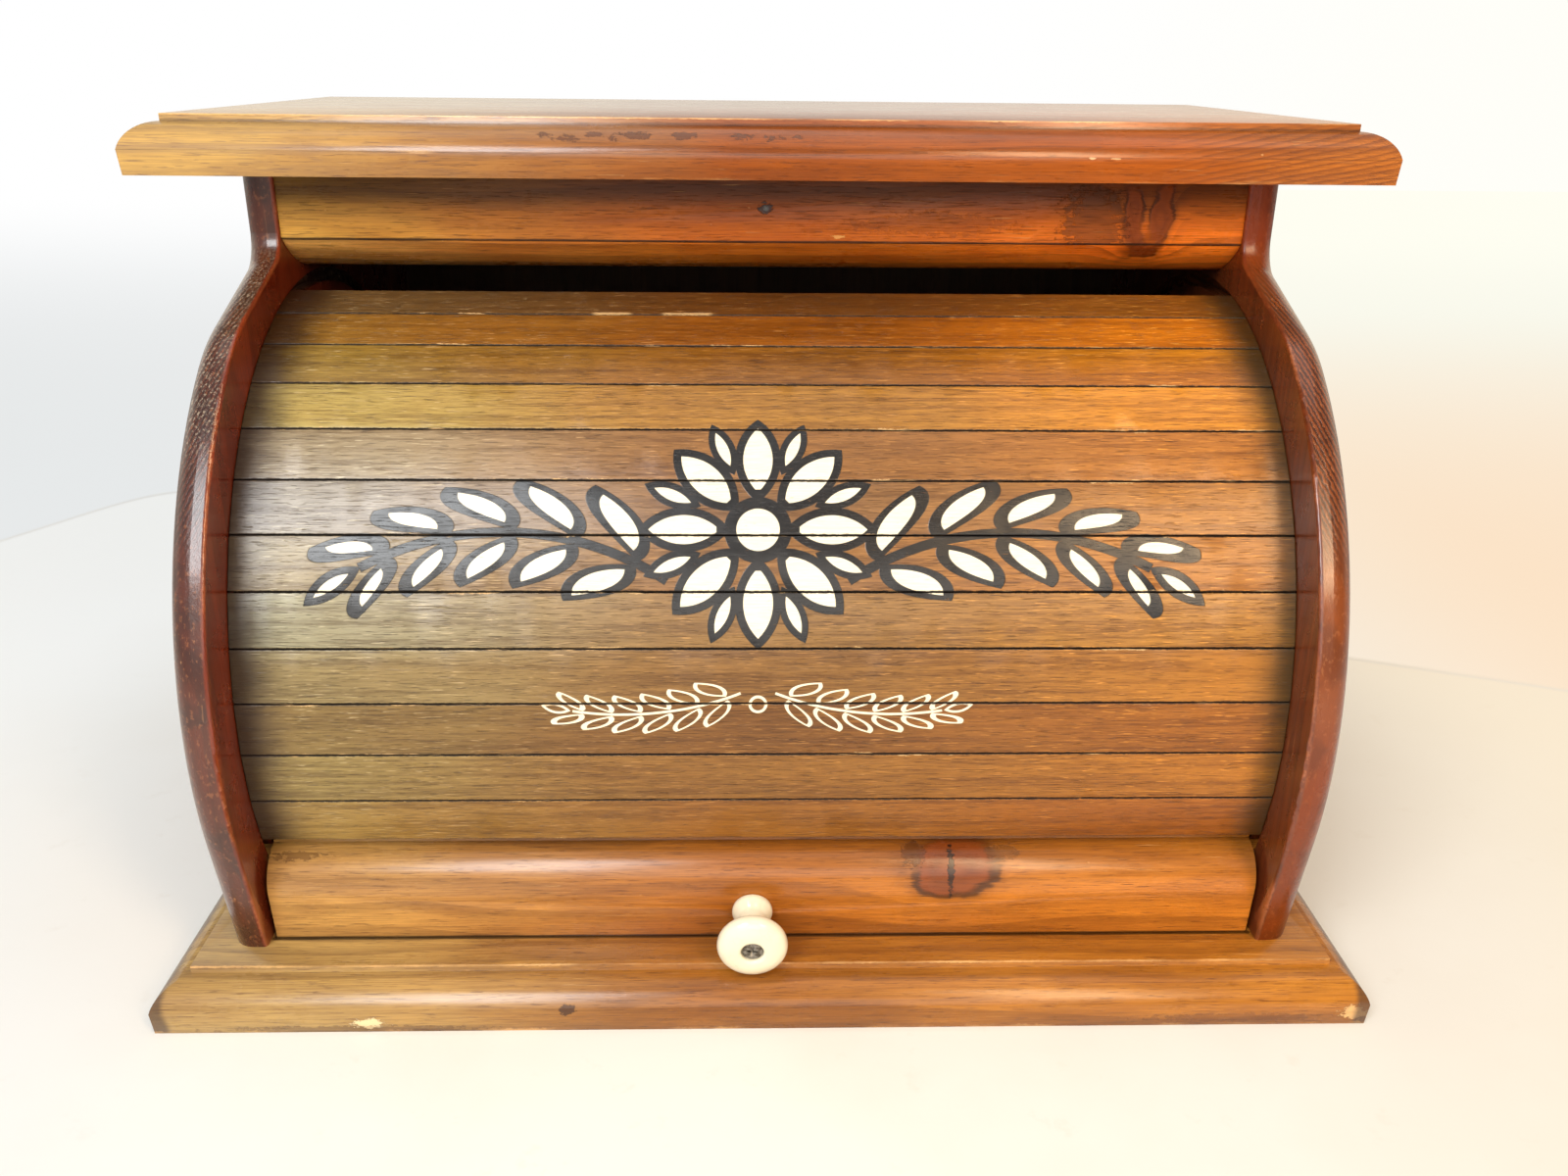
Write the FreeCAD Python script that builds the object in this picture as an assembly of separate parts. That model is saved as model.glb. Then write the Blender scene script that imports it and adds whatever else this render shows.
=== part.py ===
"""Roll-front bread box: a moulded base and top, two S-shaped sides, a valance, a thin back
and a curtain of wooden slats on canvas that runs in a round groove cut in both sides.

X runs along the width, Y from front to back and Z up, in millimetres. The origin is the
middle of the underside of the base board. Angles are measured about the curtain's axis,
from straight ahead (-Y) upwards.
"""
import FreeCAD, Part
import math
import os

from FreeCAD import Vector

os.makedirs("parts", exist_ok=True)

# ---- driving dimensions -------------------------------------------------------------
inner_width = 345.0            # between the two sides
board_thickness = 19.0         # base board and top board
side_thickness = 12.5
back_thickness = 6.0

# curtain and its circular track
track_radius = 133.4           # axis to the outer corners of the slats
axis_above_base = 77.0         # curtain axis above the top of the base board
slat_count = 12
slat_thickness = 6.0
slat_gap = 0.4                 # dark line between neighbouring slats
slat_easing = 0.5              # eased front arrises of each slat
curtain_end = 77.5             # angle of the last slat's free edge, closed
open_turn = 92.0               # how far the curtain turns to open
canvas_thickness = 0.6

# tongues at the ends of the slats and their groove
tongue_length = 4.9
tongue_thickness = 4.4
tongue_setback = 0.8           # tongue below the slat's outer face
groove_depth = 5.5
track_clearance = 0.35         # tongue to groove wall, on each face
end_clearance = 0.4            # slat shoulder to side panel

# lift rail at the foot of the curtain
rail_height = 36.8
rail_face_setback = 18.4       # bottom of the rail's face behind the front of the sides
rail_depth = 20.2
rail_lean = 2.0                # top of the face's flat part stands this far ahead of its bottom
rail_round = 13.5              # radius that rolls the face over to the rail's top
rail_step = 5.0                # step up from the round to the joint with the first slat
rail_shoulder = 5.0            # the step stands this far below the slats' faces
rail_tongue_drop = 3.6         # rail's tongues below that joint, in degrees
rail_end_gap = 2.0             # rail to side panel
rest_gap = 0.3                 # rail above the base board when closed

# front edge of the sides
side_lip = 17.0                # sides stand this far outside the curtain
foot_angle = -13.0             # below this the edge runs straight to the base
shoulder_angle = 52.0          # above this the edge turns in on the shoulder radius
shoulder_radius = 60.0
shoulder_end = 70.0
neck_ahead = 32.5              # neck in front of the curtain axis
neck_radius = 10.0
outer_roundover = 8.0
inner_roundover = 1.2

# moulded edge of the base board and the top board
moulding_radius = 11.5
moulding_step = 2.4
moulding_rise = 8.4            # height of the round, between the plain band and the step
moulding_undercut = 0.6

base_front_ledge = 7.8         # base board ahead of the widest point of the sides
base_side_ledge = 21.0
top_front_ledge = 27.5         # top board ahead of the neck
top_side_ledge = 27.5

# valance under the top board
headroom = 38.6                # highest point of the curtain to the underside of the top board
valance_setback = 1.5          # behind the neck
valance_thickness = 19.0
valance_height = 23.7
strip_depth = 23.5
strip_clearance = 3.0          # lowest edge of the strip above the curtain
strip_bulge = 2.0
back_clearance = 4.0           # curtain to back panel
rabbet_depth = 6.0             # back panel let into each side
cleat_size = 19.0

# porcelain knob
knob_diameter = 24.0
knob_flange_diameter = 14.0
knob_neck_diameter = 9.4
knob_projection = 22.0
knob_head_thickness = 8.8
knob_offset = -4.8             # the knob is set this far off the middle
knob_drop = 12.0               # centre above the rail's bottom edge, along its face

# fasteners
screw_shank = 3.4
screw_head = 7.0
screw_head_depth = 2.0
screw_hole_clearance = 0.05    # between a fastener and its hole, all round
base_screw_length = 38.0
cleat_screw_length = 31.0
knob_screw_length = 28.0
nail_shank = 1.6
nail_head = 3.6
nail_head_depth = 0.8
nail_length = 16.0
pin_diameter = 2.0
pin_hold = 6.0                 # depth of the pin in the front cleat
dowel_diameter = 6.0
dowel_length = 24.0

# ---- derived places -----------------------------------------------------------------
base_top = board_thickness
axis_z = base_top + axis_above_base
side_front_radius = track_radius + side_lip
depth = (base_front_ledge + side_front_radius + track_radius
         + back_clearance + back_thickness)
front_y = -depth / 2
back_y = depth / 2
axis_y = front_y + base_front_ledge + side_front_radius
top_underside = axis_z + track_radius + headroom
neck_y = axis_y - neck_ahead
back_panel_y = back_y - back_thickness
inner_x = inner_width / 2
outer_x = inner_x + side_thickness
base_half_width = outer_x + base_side_ledge
top_half_width = outer_x + top_side_ledge
top_front_y = neck_y - top_front_ledge

rail_bottom = base_top + rest_gap
rail_top_angle = math.degrees(math.asin((rail_bottom + rail_height - axis_z) / track_radius))
slat_angle = (curtain_end - rail_top_angle) / slat_count
groove_outer = track_radius - tongue_setback + track_clearance
tongue_inner = track_radius - tongue_setback - tongue_thickness
tongue_sagitta = tongue_inner * (1 - math.cos(math.radians(slat_angle / 2)))
groove_inner = tongue_inner - tongue_sagitta - track_clearance
groove_end = curtain_end + open_turn + 2.5


# ---- helpers ------------------------------------------------------------------------
def polar(radius, angle):
    """Point (y, z) at a radius and an angle about the curtain axis."""
    turn = math.radians(angle)
    return (axis_y - radius * math.cos(turn), axis_z + radius * math.sin(turn))


def line(start, end, x=0.0):
    return Part.LineSegment(Vector(x, *start), Vector(x, *end)).toShape()


def arc(start, middle, end, x=0.0):
    return Part.Arc(Vector(x, *start), Vector(x, *middle), Vector(x, *end)).toShape()


def extrude_section(edges, x_start, x_end):
    """Closed section of (y, z) edges drawn at x = 0, extruded from x_start to x_end."""
    face = Part.Face(Part.Wire(Part.__sortEdges__(edges)))
    face.translate(Vector(x_start, 0, 0))
    return face.extrude(Vector(x_end - x_start, 0, 0))


def polygon_prism(points, x_start, x_end):
    edges = [line(points[i - 1], points[i]) for i in range(len(points))]
    return extrude_section(edges, x_start, x_end)


def box(low, high):
    size = [high[i] - low[i] for i in range(3)]
    return Part.makeBox(size[0], size[1], size[2], Vector(*low))


def along(start, end, distance):
    """Point a distance from start on the way to end."""
    span = math.dist(start, end)
    return tuple(a + (b - a) * distance / span for a, b in zip(start, end))


def bar_section(outer_radius, inner_radius, low_angle, high_angle, gap, easing):
    """Flat slat section between two angles, with a gap at each side and eased front edges."""
    outer_low = polar(outer_radius, low_angle)
    outer_high = polar(outer_radius, high_angle)
    inner_low = polar(inner_radius, low_angle)
    inner_high = polar(inner_radius, high_angle)
    side_low = along(outer_low, outer_high, gap)
    side_high = along(outer_high, outer_low, gap)
    back_low = along(inner_low, inner_high, gap)
    back_high = along(inner_high, inner_low, gap)
    if easing == 0:
        return [side_low, side_high, back_high, back_low]
    return [along(side_low, back_low, easing), along(side_low, side_high, easing),
            along(side_high, side_low, easing), along(side_high, back_high, easing),
            back_high, back_low]


def revolve_profile(points, base, axis):
    """Turned solid: (radius, distance) points along an axis from a base point."""
    edges = []
    for start, end in zip(points, points[1:] + points[:1]):
        edges.append(Part.LineSegment(Vector(start[0], 0, start[1]),
                                      Vector(end[0], 0, end[1])).toShape())
    solid = Part.Face(Part.Wire(edges)).revolve(Vector(0, 0, 0), Vector(0, 0, 1), 360)
    solid.Placement = FreeCAD.Placement(base, FreeCAD.Rotation(Vector(0, 0, 1), axis))
    return solid


def fastener(base, axis, shank, head, head_depth, length, grow=0.0):
    """Countersunk fastener from the middle of its head's face, pointing along axis."""
    tip = 0.3
    return revolve_profile([(0, -grow), (head / 2 + grow, -grow), (head / 2 + grow, tip),
                            (shank / 2 + grow, head_depth), (shank / 2 + grow, length - shank),
                            (tip + grow, length + grow), (0, length + grow)], base, axis)


def wood_screw(base, axis, length, grow=0.0):
    return fastener(base, axis, screw_shank, screw_head, screw_head_depth, length, grow)


def nail(base, axis, grow=0.0):
    return fastener(base, axis, nail_shank, nail_head, nail_head_depth, nail_length, grow)


def drilled(body, tools):
    for tool in tools:
        body = body.cut(tool)
    return body


def mirrored(shape):
    return shape.mirror(Vector(0, 0, 0), Vector(1, 0, 0))


def save(name, *solids):
    shape = solids[0] if len(solids) == 1 else Part.makeCompound(list(solids))
    shape.exportStep(f"parts/{name}.step")


# ---- boards with a moulded front and ends -------------------------------------------
def moulded_profile(front, back, bottom):
    """Section of a board, front edge moulded: (outline position, height) edges."""
    top = bottom + board_thickness
    step_foot = top - moulding_step
    band_top = step_foot - moulding_rise
    centre_height = step_foot - moulding_radius
    reach = math.sqrt(moulding_radius ** 2 - (band_top - centre_height) ** 2)
    centre = front + reach
    turn = math.atan2(band_top - centre_height, -reach)
    middle_turn = (turn + math.pi / 2) / 2
    middle = (centre + moulding_radius * math.cos(middle_turn),
              centre_height + moulding_radius * math.sin(middle_turn))
    return [line((back, bottom), (front + moulding_undercut, bottom)),
            line((front + moulding_undercut, bottom), (front, band_top)),
            arc((front, band_top), middle, (centre, step_foot)),
            line((centre, step_foot), (centre, top)),
            line((centre, top), (back, top)),
            line((back, top), (back, bottom))]


def moulded_board(half_width, front, bottom):
    """Board from front to the back of the box, moulded along its front and both ends."""
    lengthways = extrude_section(moulded_profile(front, back_y, bottom), -half_width, half_width)
    half_end = extrude_section(moulded_profile(-half_width, 0, bottom), front, back_y)
    half_end.rotate(Vector(0, 0, 0), Vector(0, 0, 1), 90)
    left_end = mirrored(half_end)
    ends = half_end.fuse(left_end).removeSplitter()
    return lengthways.common(ends)


# ---- sides --------------------------------------------------------------------------
def side_outline():
    """Edges of a side in (y, z), the first five of them along its shaped front."""
    foot_top = polar(side_front_radius, foot_angle)
    foot_run = (foot_top[1] - base_top) * math.tan(math.radians(-foot_angle))
    foot = (foot_top[0] + foot_run, base_top)
    belly = polar(side_front_radius, (foot_angle + shoulder_angle) / 2)
    shoulder_start = polar(side_front_radius, shoulder_angle)
    centre = polar(side_front_radius - shoulder_radius, shoulder_angle)

    def on_shoulder(angle):
        turn = math.radians(angle)
        return (centre[0] - shoulder_radius * math.cos(turn),
                centre[1] + shoulder_radius * math.sin(turn))

    shoulder_middle = on_shoulder((shoulder_angle + shoulder_end) / 2)
    shoulder_foot = on_shoulder(shoulder_end)
    slope = math.radians(90 - shoulder_end)
    corner_z = shoulder_foot[1] + (neck_y - shoulder_foot[0]) * math.tan(slope)
    tangent = neck_radius * math.tan((math.pi / 2 - slope) / 2)
    cove_start = (neck_y - tangent * math.cos(slope), corner_z - tangent * math.sin(slope))
    cove_end = (neck_y, corner_z + tangent)
    cove_centre = (neck_y - neck_radius, cove_end[1])
    middle_turn = -(math.pi / 2 - slope) / 2
    cove_middle = (cove_centre[0] + neck_radius * math.cos(middle_turn),
                   cove_centre[1] + neck_radius * math.sin(middle_turn))
    neck_top = (neck_y, top_underside)
    return [line(foot, foot_top),
            arc(foot_top, belly, shoulder_start),
            arc(shoulder_start, shoulder_middle, shoulder_foot),
            line(shoulder_foot, cove_start),
            arc(cove_start, cove_middle, cove_end),
            line(cove_end, neck_top),
            line(neck_top, (back_y, top_underside)),
            line((back_y, top_underside), (back_y, base_top)),
            line((back_y, base_top), foot)]


def is_front_edge(edge, x):
    """True for an edge of the shaped front that lies in the plane at x."""
    box_of = edge.BoundBox
    in_plane = abs(box_of.XMin - x) < 0.01 and abs(box_of.XMax - x) < 0.01
    on_top = box_of.ZMin > top_underside - 0.01
    on_base = box_of.ZMax < base_top + 0.01
    return in_plane and box_of.YMax < neck_y + 0.01 and not on_top and not on_base


def track_groove():
    """Round groove for the tongues, open at the base, with a square closed end."""
    reach = 10.0
    start = math.degrees(math.asin((base_top - axis_z) / groove_outer)) - reach
    ring = Part.makeCylinder(groove_outer, groove_depth, Vector(inner_x, axis_y, axis_z),
                             Vector(1, 0, 0))
    core = Part.makeCylinder(groove_inner, groove_depth, Vector(inner_x, axis_y, axis_z),
                             Vector(1, 0, 0))
    far = 2 * track_radius
    sector = [(axis_y, axis_z)]
    steps = 6
    for i in range(steps + 1):
        sector.append(polar(far, start + (groove_end - start) * i / steps))
    return ring.cut(core).common(polygon_prism(sector, inner_x, inner_x + groove_depth))


def make_right_side():
    panel = extrude_section(side_outline(), inner_x, outer_x)
    for x, radius in ((outer_x, outer_roundover), (inner_x, inner_roundover)):
        panel = panel.makeFillet(radius, [e for e in panel.Edges if is_front_edge(e, x)])
    rabbet = box((inner_x, back_panel_y, base_top), (inner_x + rabbet_depth, back_y, top_underside))
    return panel.cut(track_groove()).cut(rabbet)


# ---- curtain ------------------------------------------------------------------------
def curtain_bar(low_angle, gap, easing, half_length):
    """A slat: its body between the sides and a thinner tongue into each groove."""
    high_angle = low_angle + slat_angle
    body = polygon_prism(bar_section(track_radius, track_radius - slat_thickness,
                                     low_angle, high_angle, gap, easing),
                         -half_length, half_length)
    return body.fuse(curtain_tongue(low_angle, gap)).removeSplitter()


def curtain_tongue(low_angle, gap):
    reach = inner_x + tongue_length
    return polygon_prism(bar_section(track_radius - tongue_setback, tongue_inner,
                                     low_angle, low_angle + slat_angle, gap, 0), -reach, reach)


def make_canvas():
    """Cloth glued behind the slats, in one flat strip for each of them."""
    inner = track_radius - slat_thickness
    half = inner_x - end_clearance - 3.0
    angles = [rail_top_angle + slat_angle * i for i in range(slat_count + 1)]
    front = [polar(inner, a) for a in angles]
    back = [polar(inner - canvas_thickness, a) for a in reversed(angles)]
    return polygon_prism(front + back, -half, half)


rail_front_y = front_y + base_front_ledge + rail_face_setback
rail_flat = rail_height - rail_round - rail_step
rail_flat_top = (rail_front_y - rail_lean, rail_bottom + rail_flat)
rail_face_direction = Vector(0, -rail_lean, rail_flat).normalize()
rail_face_normal = Vector(0, -rail_flat, -rail_lean).normalize()


def make_lift_rail():
    """Solid rail: flat lower face, rounded top, and a step behind it that meets the slats."""
    bottom_front = (rail_front_y, rail_bottom)
    bottom_back = (rail_front_y + rail_depth, rail_bottom)
    step_radius = track_radius - rail_shoulder
    joint_front = along(polar(step_radius, rail_top_angle),
                        polar(step_radius, rail_top_angle - slat_angle), slat_gap / 2)
    joint_inner = along(polar(track_radius - slat_thickness, rail_top_angle),
                        polar(track_radius - slat_thickness, rail_top_angle - slat_angle),
                        slat_gap / 2)
    joint_direction = (joint_inner[0] - joint_front[0], joint_inner[1] - joint_front[1])
    joint_run = (bottom_back[0] - joint_front[0]) / joint_direction[0]
    top_back = (bottom_back[0], joint_front[1] + joint_direction[1] * joint_run)
    centre = (rail_flat_top[0] - rail_face_normal.y * rail_round,
              rail_flat_top[1] - rail_face_normal.z * rail_round)
    run = joint_front[0] - centre[0]
    step_foot = (joint_front[0], centre[1] + math.sqrt(rail_round ** 2 - run ** 2))
    to_middle = (Vector(0, *rail_flat_top) + Vector(0, *step_foot) - Vector(0, *centre) * 2).normalize()
    middle = (centre[0] + to_middle.y * rail_round, centre[1] + to_middle.z * rail_round)
    half = inner_x - rail_end_gap
    rail = extrude_section([line(bottom_back, bottom_front), line(bottom_front, rail_flat_top),
                            arc(rail_flat_top, middle, step_foot), line(step_foot, joint_front),
                            line(joint_front, top_back), line(top_back, bottom_back)], -half, half)
    tongue = curtain_tongue(rail_top_angle - slat_angle - rail_tongue_drop, slat_gap / 2)
    return rail.fuse(tongue).removeSplitter()


def knob_seat():
    """Middle of the knob's flange on the rail's flat face."""
    return Vector(knob_offset, rail_front_y, rail_bottom) + rail_face_direction * knob_drop


def make_knob():
    """Turned knob: flange, neck, broad head and a countersunk screw seat."""
    flange = knob_flange_diameter / 2
    neck = knob_neck_diameter / 2
    head = knob_diameter / 2
    seat = screw_head / 2 + 0.3
    bore = screw_shank / 2 + screw_hole_clearance
    length = knob_projection
    under = length - knob_head_thickness
    profile = [(bore, 0), (flange - 0.6, 0), (flange, 0.8), (flange, 2.4), (flange - 0.9, 3.8),
               (neck + 0.5, 5.4), (neck, under - 3.2), (neck + 0.6, under - 1.4), (neck + 2.6, under),
               (head - 2.2, under + 1.5), (head - 0.5, under + 3.0), (head, under + 4.6),
               (head - 0.5, under + 6.2), (head - 2.6, length - 1.1), (head - 5.6, length),
               (seat + 0.9, length), (seat, length - 0.6), (seat, length - 1.6),
               (bore, length - 1.6 - screw_head_depth)]
    return revolve_profile(profile, knob_seat(), rail_face_normal)


def knob_screw(grow=0.0):
    head_face = knob_seat() + rail_face_normal * (knob_projection - 1.2)
    return wood_screw(head_face, rail_face_normal * -1, knob_screw_length, grow)


# ---- fasteners of the case ----------------------------------------------------------
UP = Vector(0, 0, 1)
BACKWARDS = Vector(0, 1, 0)
side_middle_x = (inner_x + outer_x) / 2
base_screw_places = [Vector(side * side_middle_x, y, 0)
                     for side in (-1, 1)
                     for y in (axis_y - track_radius / 2, axis_y + 12.0, back_y - 40.0)]
front_cleat_y = neck_y + valance_setback + valance_thickness
rear_cleat_y = back_panel_y - cleat_size
cleat_screw_places = [Vector(x, y + cleat_size / 2, top_underside - cleat_size)
                      for y in (front_cleat_y, rear_cleat_y)
                      for x in (-inner_x + 45.0, 0.0, inner_x - 45.0)]
nail_x = inner_x + rabbet_depth / 2
nail_places = [Vector(side * nail_x, back_y, z)
               for side in (-1, 1)
               for z in (base_top + 15.0, base_top + 55.0, top_underside - 105.0,
                         top_underside - 60.0, top_underside - 20.0)]
nail_places += [Vector(x, back_y, top_underside - cleat_size / 2)
                for x in (-inner_x + 75.0, -32.0, 32.0, inner_x - 75.0)]
pin_place = Vector(0, neck_y + valance_setback, top_underside - valance_height / 2)
pin_length = valance_thickness + pin_hold
dowel_places = [Vector(side * side_middle_x, y, top_underside - dowel_length / 2)
                for side in (-1, 1)
                for y in (neck_y + 25.0, back_y - 35.0)]


def base_screws(grow=0.0):
    return [wood_screw(place, UP, base_screw_length, grow) for place in base_screw_places]


def cleat_screws(grow=0.0):
    return [wood_screw(place, UP, cleat_screw_length, grow) for place in cleat_screw_places]


def back_nails(grow=0.0):
    return [nail(place, BACKWARDS * -1, grow) for place in nail_places]


def dowels(grow=0.0):
    return [Part.makeCylinder(dowel_diameter / 2 + grow, dowel_length + 2 * grow,
                              place - UP * grow, UP) for place in dowel_places]


def valance_pin(grow=0.0):
    return Part.makeCylinder(pin_diameter / 2 + grow, pin_length + grow, pin_place, BACKWARDS)


holes_base = base_screws(screw_hole_clearance)
holes_cleats = cleat_screws(screw_hole_clearance)
holes_back = back_nails(screw_hole_clearance)
holes_dowels = dowels(screw_hole_clearance)
hole_pin = valance_pin(screw_hole_clearance)


# ---- case ---------------------------------------------------------------------------
def make_valance_board():
    front = neck_y + valance_setback
    board = box((-inner_x, front, top_underside - valance_height),
                (inner_x, front + valance_thickness, top_underside))
    return board.cut(hole_pin)


def make_valance_strip():
    """Nosing under the valance board, rounded back towards the curtain."""
    top = top_underside - valance_height
    front = neck_y + valance_setback
    back = front + strip_depth
    offset = axis_y - back
    low = axis_z + math.sqrt((track_radius + strip_clearance) ** 2 - offset ** 2)
    chord = math.dist((front, top), (back, low))
    outward = ((low - top) / chord, -(back - front) / chord)
    swell = ((front + back) / 2 + outward[0] * strip_bulge,
             (top + low) / 2 + outward[1] * strip_bulge)
    return extrude_section([arc((front, top), swell, (back, low)), line((back, low), (back, top)),
                            line((back, top), (front, top))], -inner_x, inner_x)


def make_cleat(y_start, tools):
    cleat = box((-inner_x, y_start, top_underside - cleat_size),
                (inner_x, y_start + cleat_size, top_underside))
    return drilled(cleat, tools)


right_side = make_right_side()
sides_tools = holes_base + holes_back + holes_dowels
save("right_side", drilled(right_side, sides_tools))
save("left_side", drilled(mirrored(right_side), sides_tools))
save("base_board", drilled(moulded_board(base_half_width, front_y, 0), holes_base))
save("top_board", drilled(moulded_board(top_half_width, top_front_y, top_underside),
                          holes_cleats + holes_dowels))
back_reach = inner_x + rabbet_depth
back_panel = box((-back_reach, back_panel_y, base_top), (back_reach, back_y, top_underside))
save("back_panel", drilled(back_panel, holes_back))
save("valance_board", make_valance_board())
save("valance_strip", make_valance_strip())
save("front_cleat", make_cleat(front_cleat_y, holes_cleats + [hole_pin]))
save("rear_cleat", make_cleat(rear_cleat_y, holes_cleats + holes_back))
save("base_screws", *base_screws())
save("cleat_screws", *cleat_screws())
save("back_nails", *back_nails())
save("top_dowels", *dowels())
save("valance_pin", valance_pin())

# ---- curtain ------------------------------------------------------------------------
for index in range(slat_count):
    low_angle = rail_top_angle + slat_angle * index
    slat = curtain_bar(low_angle, slat_gap / 2, slat_easing, inner_x - end_clearance)
    save(f"slat_{index + 1:02d}", slat)
save("canvas_backing", make_canvas())
save("lift_rail", make_lift_rail().cut(knob_screw(screw_hole_clearance)))
save("knob", make_knob())
save("knob_screw", knob_screw())
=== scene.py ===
"""Looks of a roll-front bread box: stained and lacquered pine, a painted slat curtain, a
porcelain knob, and the steel and cloth that hold it together.

Sizes are in millimetres, and MM turns them to metres where geometry is made. Patterns work
in millimetres on Object coordinates. On a colour socket, three numbers are a colour as it
looks on screen, 0 to 255, and four are the linear values that a shader takes.
"""
from functools import reduce
from math import asin, atan2, cos, degrees, pi, radians, sin, tan

import bmesh
import bpy
from mathutils import Matrix, Vector


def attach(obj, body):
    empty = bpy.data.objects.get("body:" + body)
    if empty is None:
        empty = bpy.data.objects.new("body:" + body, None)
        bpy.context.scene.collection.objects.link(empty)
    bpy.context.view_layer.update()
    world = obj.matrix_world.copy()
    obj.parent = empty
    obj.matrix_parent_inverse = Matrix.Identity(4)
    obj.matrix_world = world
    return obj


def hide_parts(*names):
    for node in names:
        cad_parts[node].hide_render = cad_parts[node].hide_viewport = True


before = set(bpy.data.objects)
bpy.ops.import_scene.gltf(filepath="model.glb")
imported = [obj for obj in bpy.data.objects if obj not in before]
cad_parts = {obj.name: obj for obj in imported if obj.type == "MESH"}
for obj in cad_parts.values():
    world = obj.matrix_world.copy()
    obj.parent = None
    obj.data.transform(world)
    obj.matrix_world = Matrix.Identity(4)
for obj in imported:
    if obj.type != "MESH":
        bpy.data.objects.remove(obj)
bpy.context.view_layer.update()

scene = bpy.context.scene
MM = 0.001

# ---- sizes of the box, in millimetres ----
AXIS_Y, AXIS_Z = 7.4, 96.0            # the curtain turns about this line
TRACK_RADIUS = 133.4                  # axis to the outer corners of the slats
RAIL_FOOT, RAIL_HEIGHT = 19.3, 36.8
RAIL_FACE_Y, RAIL_LEAN = -124.6, atan2(2.0, 18.3)     # its front at the foot leans outwards
RAIL_TOP_ANGLE = degrees(asin((RAIL_FOOT + RAIL_HEIGHT - AXIS_Z) / TRACK_RADIUS))
CURTAIN_END = 77.5
SLAT_COUNT = 12
SLAT_TURN = (CURTAIN_END - RAIL_TOP_ANGLE) / SLAT_COUNT
SLAT_THICKNESS = 6.0
SLAT_GAP = 0.4
SLAT_HALF_LENGTH = 172.1
TONGUE_REACH, TONGUE_THICKNESS, TONGUE_SETBACK = 177.4, 4.4, 0.8
CANVAS_RADIUS = TRACK_RADIUS - SLAT_THICKNESS
CANVAS_HALF = 169.1
INNER_X, OUTER_X = 172.5, 185.0
SIDE_EDGE_RADIUS = 150.4              # where the sides' flats turn into their round front
FRONT_Y, BACK_Y = -150.8, 150.8
BASE_TOP, TOP_UNDERSIDE, TOP_FACE = 19.0, 268.0, 287.0
TOP_FRONT_Y = -52.6
MOULDING_REACH, MOULDING_BAND, MOULDING_STEP = 11.08, 8.2, 2.4
VALANCE_Y, VALANCE_FOOT = -23.6, 244.3


# ---- writing node trees ----
class Flow:
    """What a node puts out. Arithmetic on it adds Math nodes to the same tree."""

    def __init__(self, socket):
        self.socket = socket

    def __neg__(self):
        return calculate("MULTIPLY", self, -1.0)

    def __abs__(self):
        return calculate("ABSOLUTE", self)


for sign, operation in (("add", "ADD"), ("sub", "SUBTRACT"), ("mul", "MULTIPLY"),
                        ("truediv", "DIVIDE")):
    setattr(Flow, f"__{sign}__", lambda a, b, kind=operation: calculate(kind, a, b))
    setattr(Flow, f"__r{sign}__", lambda a, b, kind=operation: calculate(kind, b, a))


def colour(red, green, blue):
    """Colour written as it looks on screen, 0 to 255, as the linear values a shader takes."""
    def linear(value):
        value /= 255
        return value / 12.92 if value <= 0.04045 else ((value + 0.055) / 1.055) ** 2.4
    return (linear(red), linear(green), linear(blue), 1.0)


def join(value, socket):
    """Sets a node's input to a plain value or to what another node puts out."""
    if isinstance(value, Flow):
        socket.id_data.links.new(value.socket, socket)
    elif socket.type == "RGBA" and len(value) == 3:
        socket.default_value = colour(*value)
    else:
        socket.default_value = value


def add_node(tree, kind, values=None, **settings):
    """New node with its settings and its inputs, which are named or numbered."""
    node = tree.nodes.new(kind)
    for name, value in settings.items():
        setattr(node, name, value)
    for place, value in (values or {}).items():
        join(value, node.inputs[place])
    return node


def source(tree, kind, out=0, values=None, **settings):
    """Output of a new node that reads no other node."""
    return Flow(add_node(tree, kind, values, **settings).outputs[out])


def tree_of(values):
    return next(value.socket.id_data for value in values if isinstance(value, Flow))


def through(kind, values, out=0, **settings):
    """Output of a new node in the tree of the flows that it reads."""
    return Flow(add_node(tree_of(values.values()), kind, values, **settings).outputs[out])


def calculate(operation, *values):
    return through("ShaderNodeMath", dict(enumerate(values)), operation=operation)


def least(*values):
    return reduce(lambda a, b: calculate("MINIMUM", a, b), values)


def most(*values):
    return reduce(lambda a, b: calculate("MAXIMUM", a, b), values)


def between(value, low, high):
    """0 below low and 1 above high, with a smooth step between, or the other way round."""
    return through("ShaderNodeMapRange",
                   {"Value": value, "From Min": min(low, high), "From Max": max(low, high),
                    "To Min": float(low > high), "To Max": float(low < high)},
                   "Result", interpolation_type="SMOOTHSTEP")


def band(value, centre, half_width, soft):
    """1 within half_width of the centre, fading over a soft edge."""
    return between(abs(value - centre), half_width + soft, half_width)


def fraction(value):
    return value - calculate("FLOOR", value)


def length_of(a, b):
    return calculate("SQRT", a * a + b * b)


def vector(x, y, z):
    return through("ShaderNodeCombineXYZ", {0: x, 1: y, 2: z})


def split(value):
    node = add_node(tree_of([value]), "ShaderNodeSeparateXYZ", {0: value})
    return [Flow(out) for out in node.outputs]


def stretched(place, scale, offset=(0, 0, 0)):
    return through("ShaderNodeMapping", {"Vector": place, "Location": offset, "Scale": scale})


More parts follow.
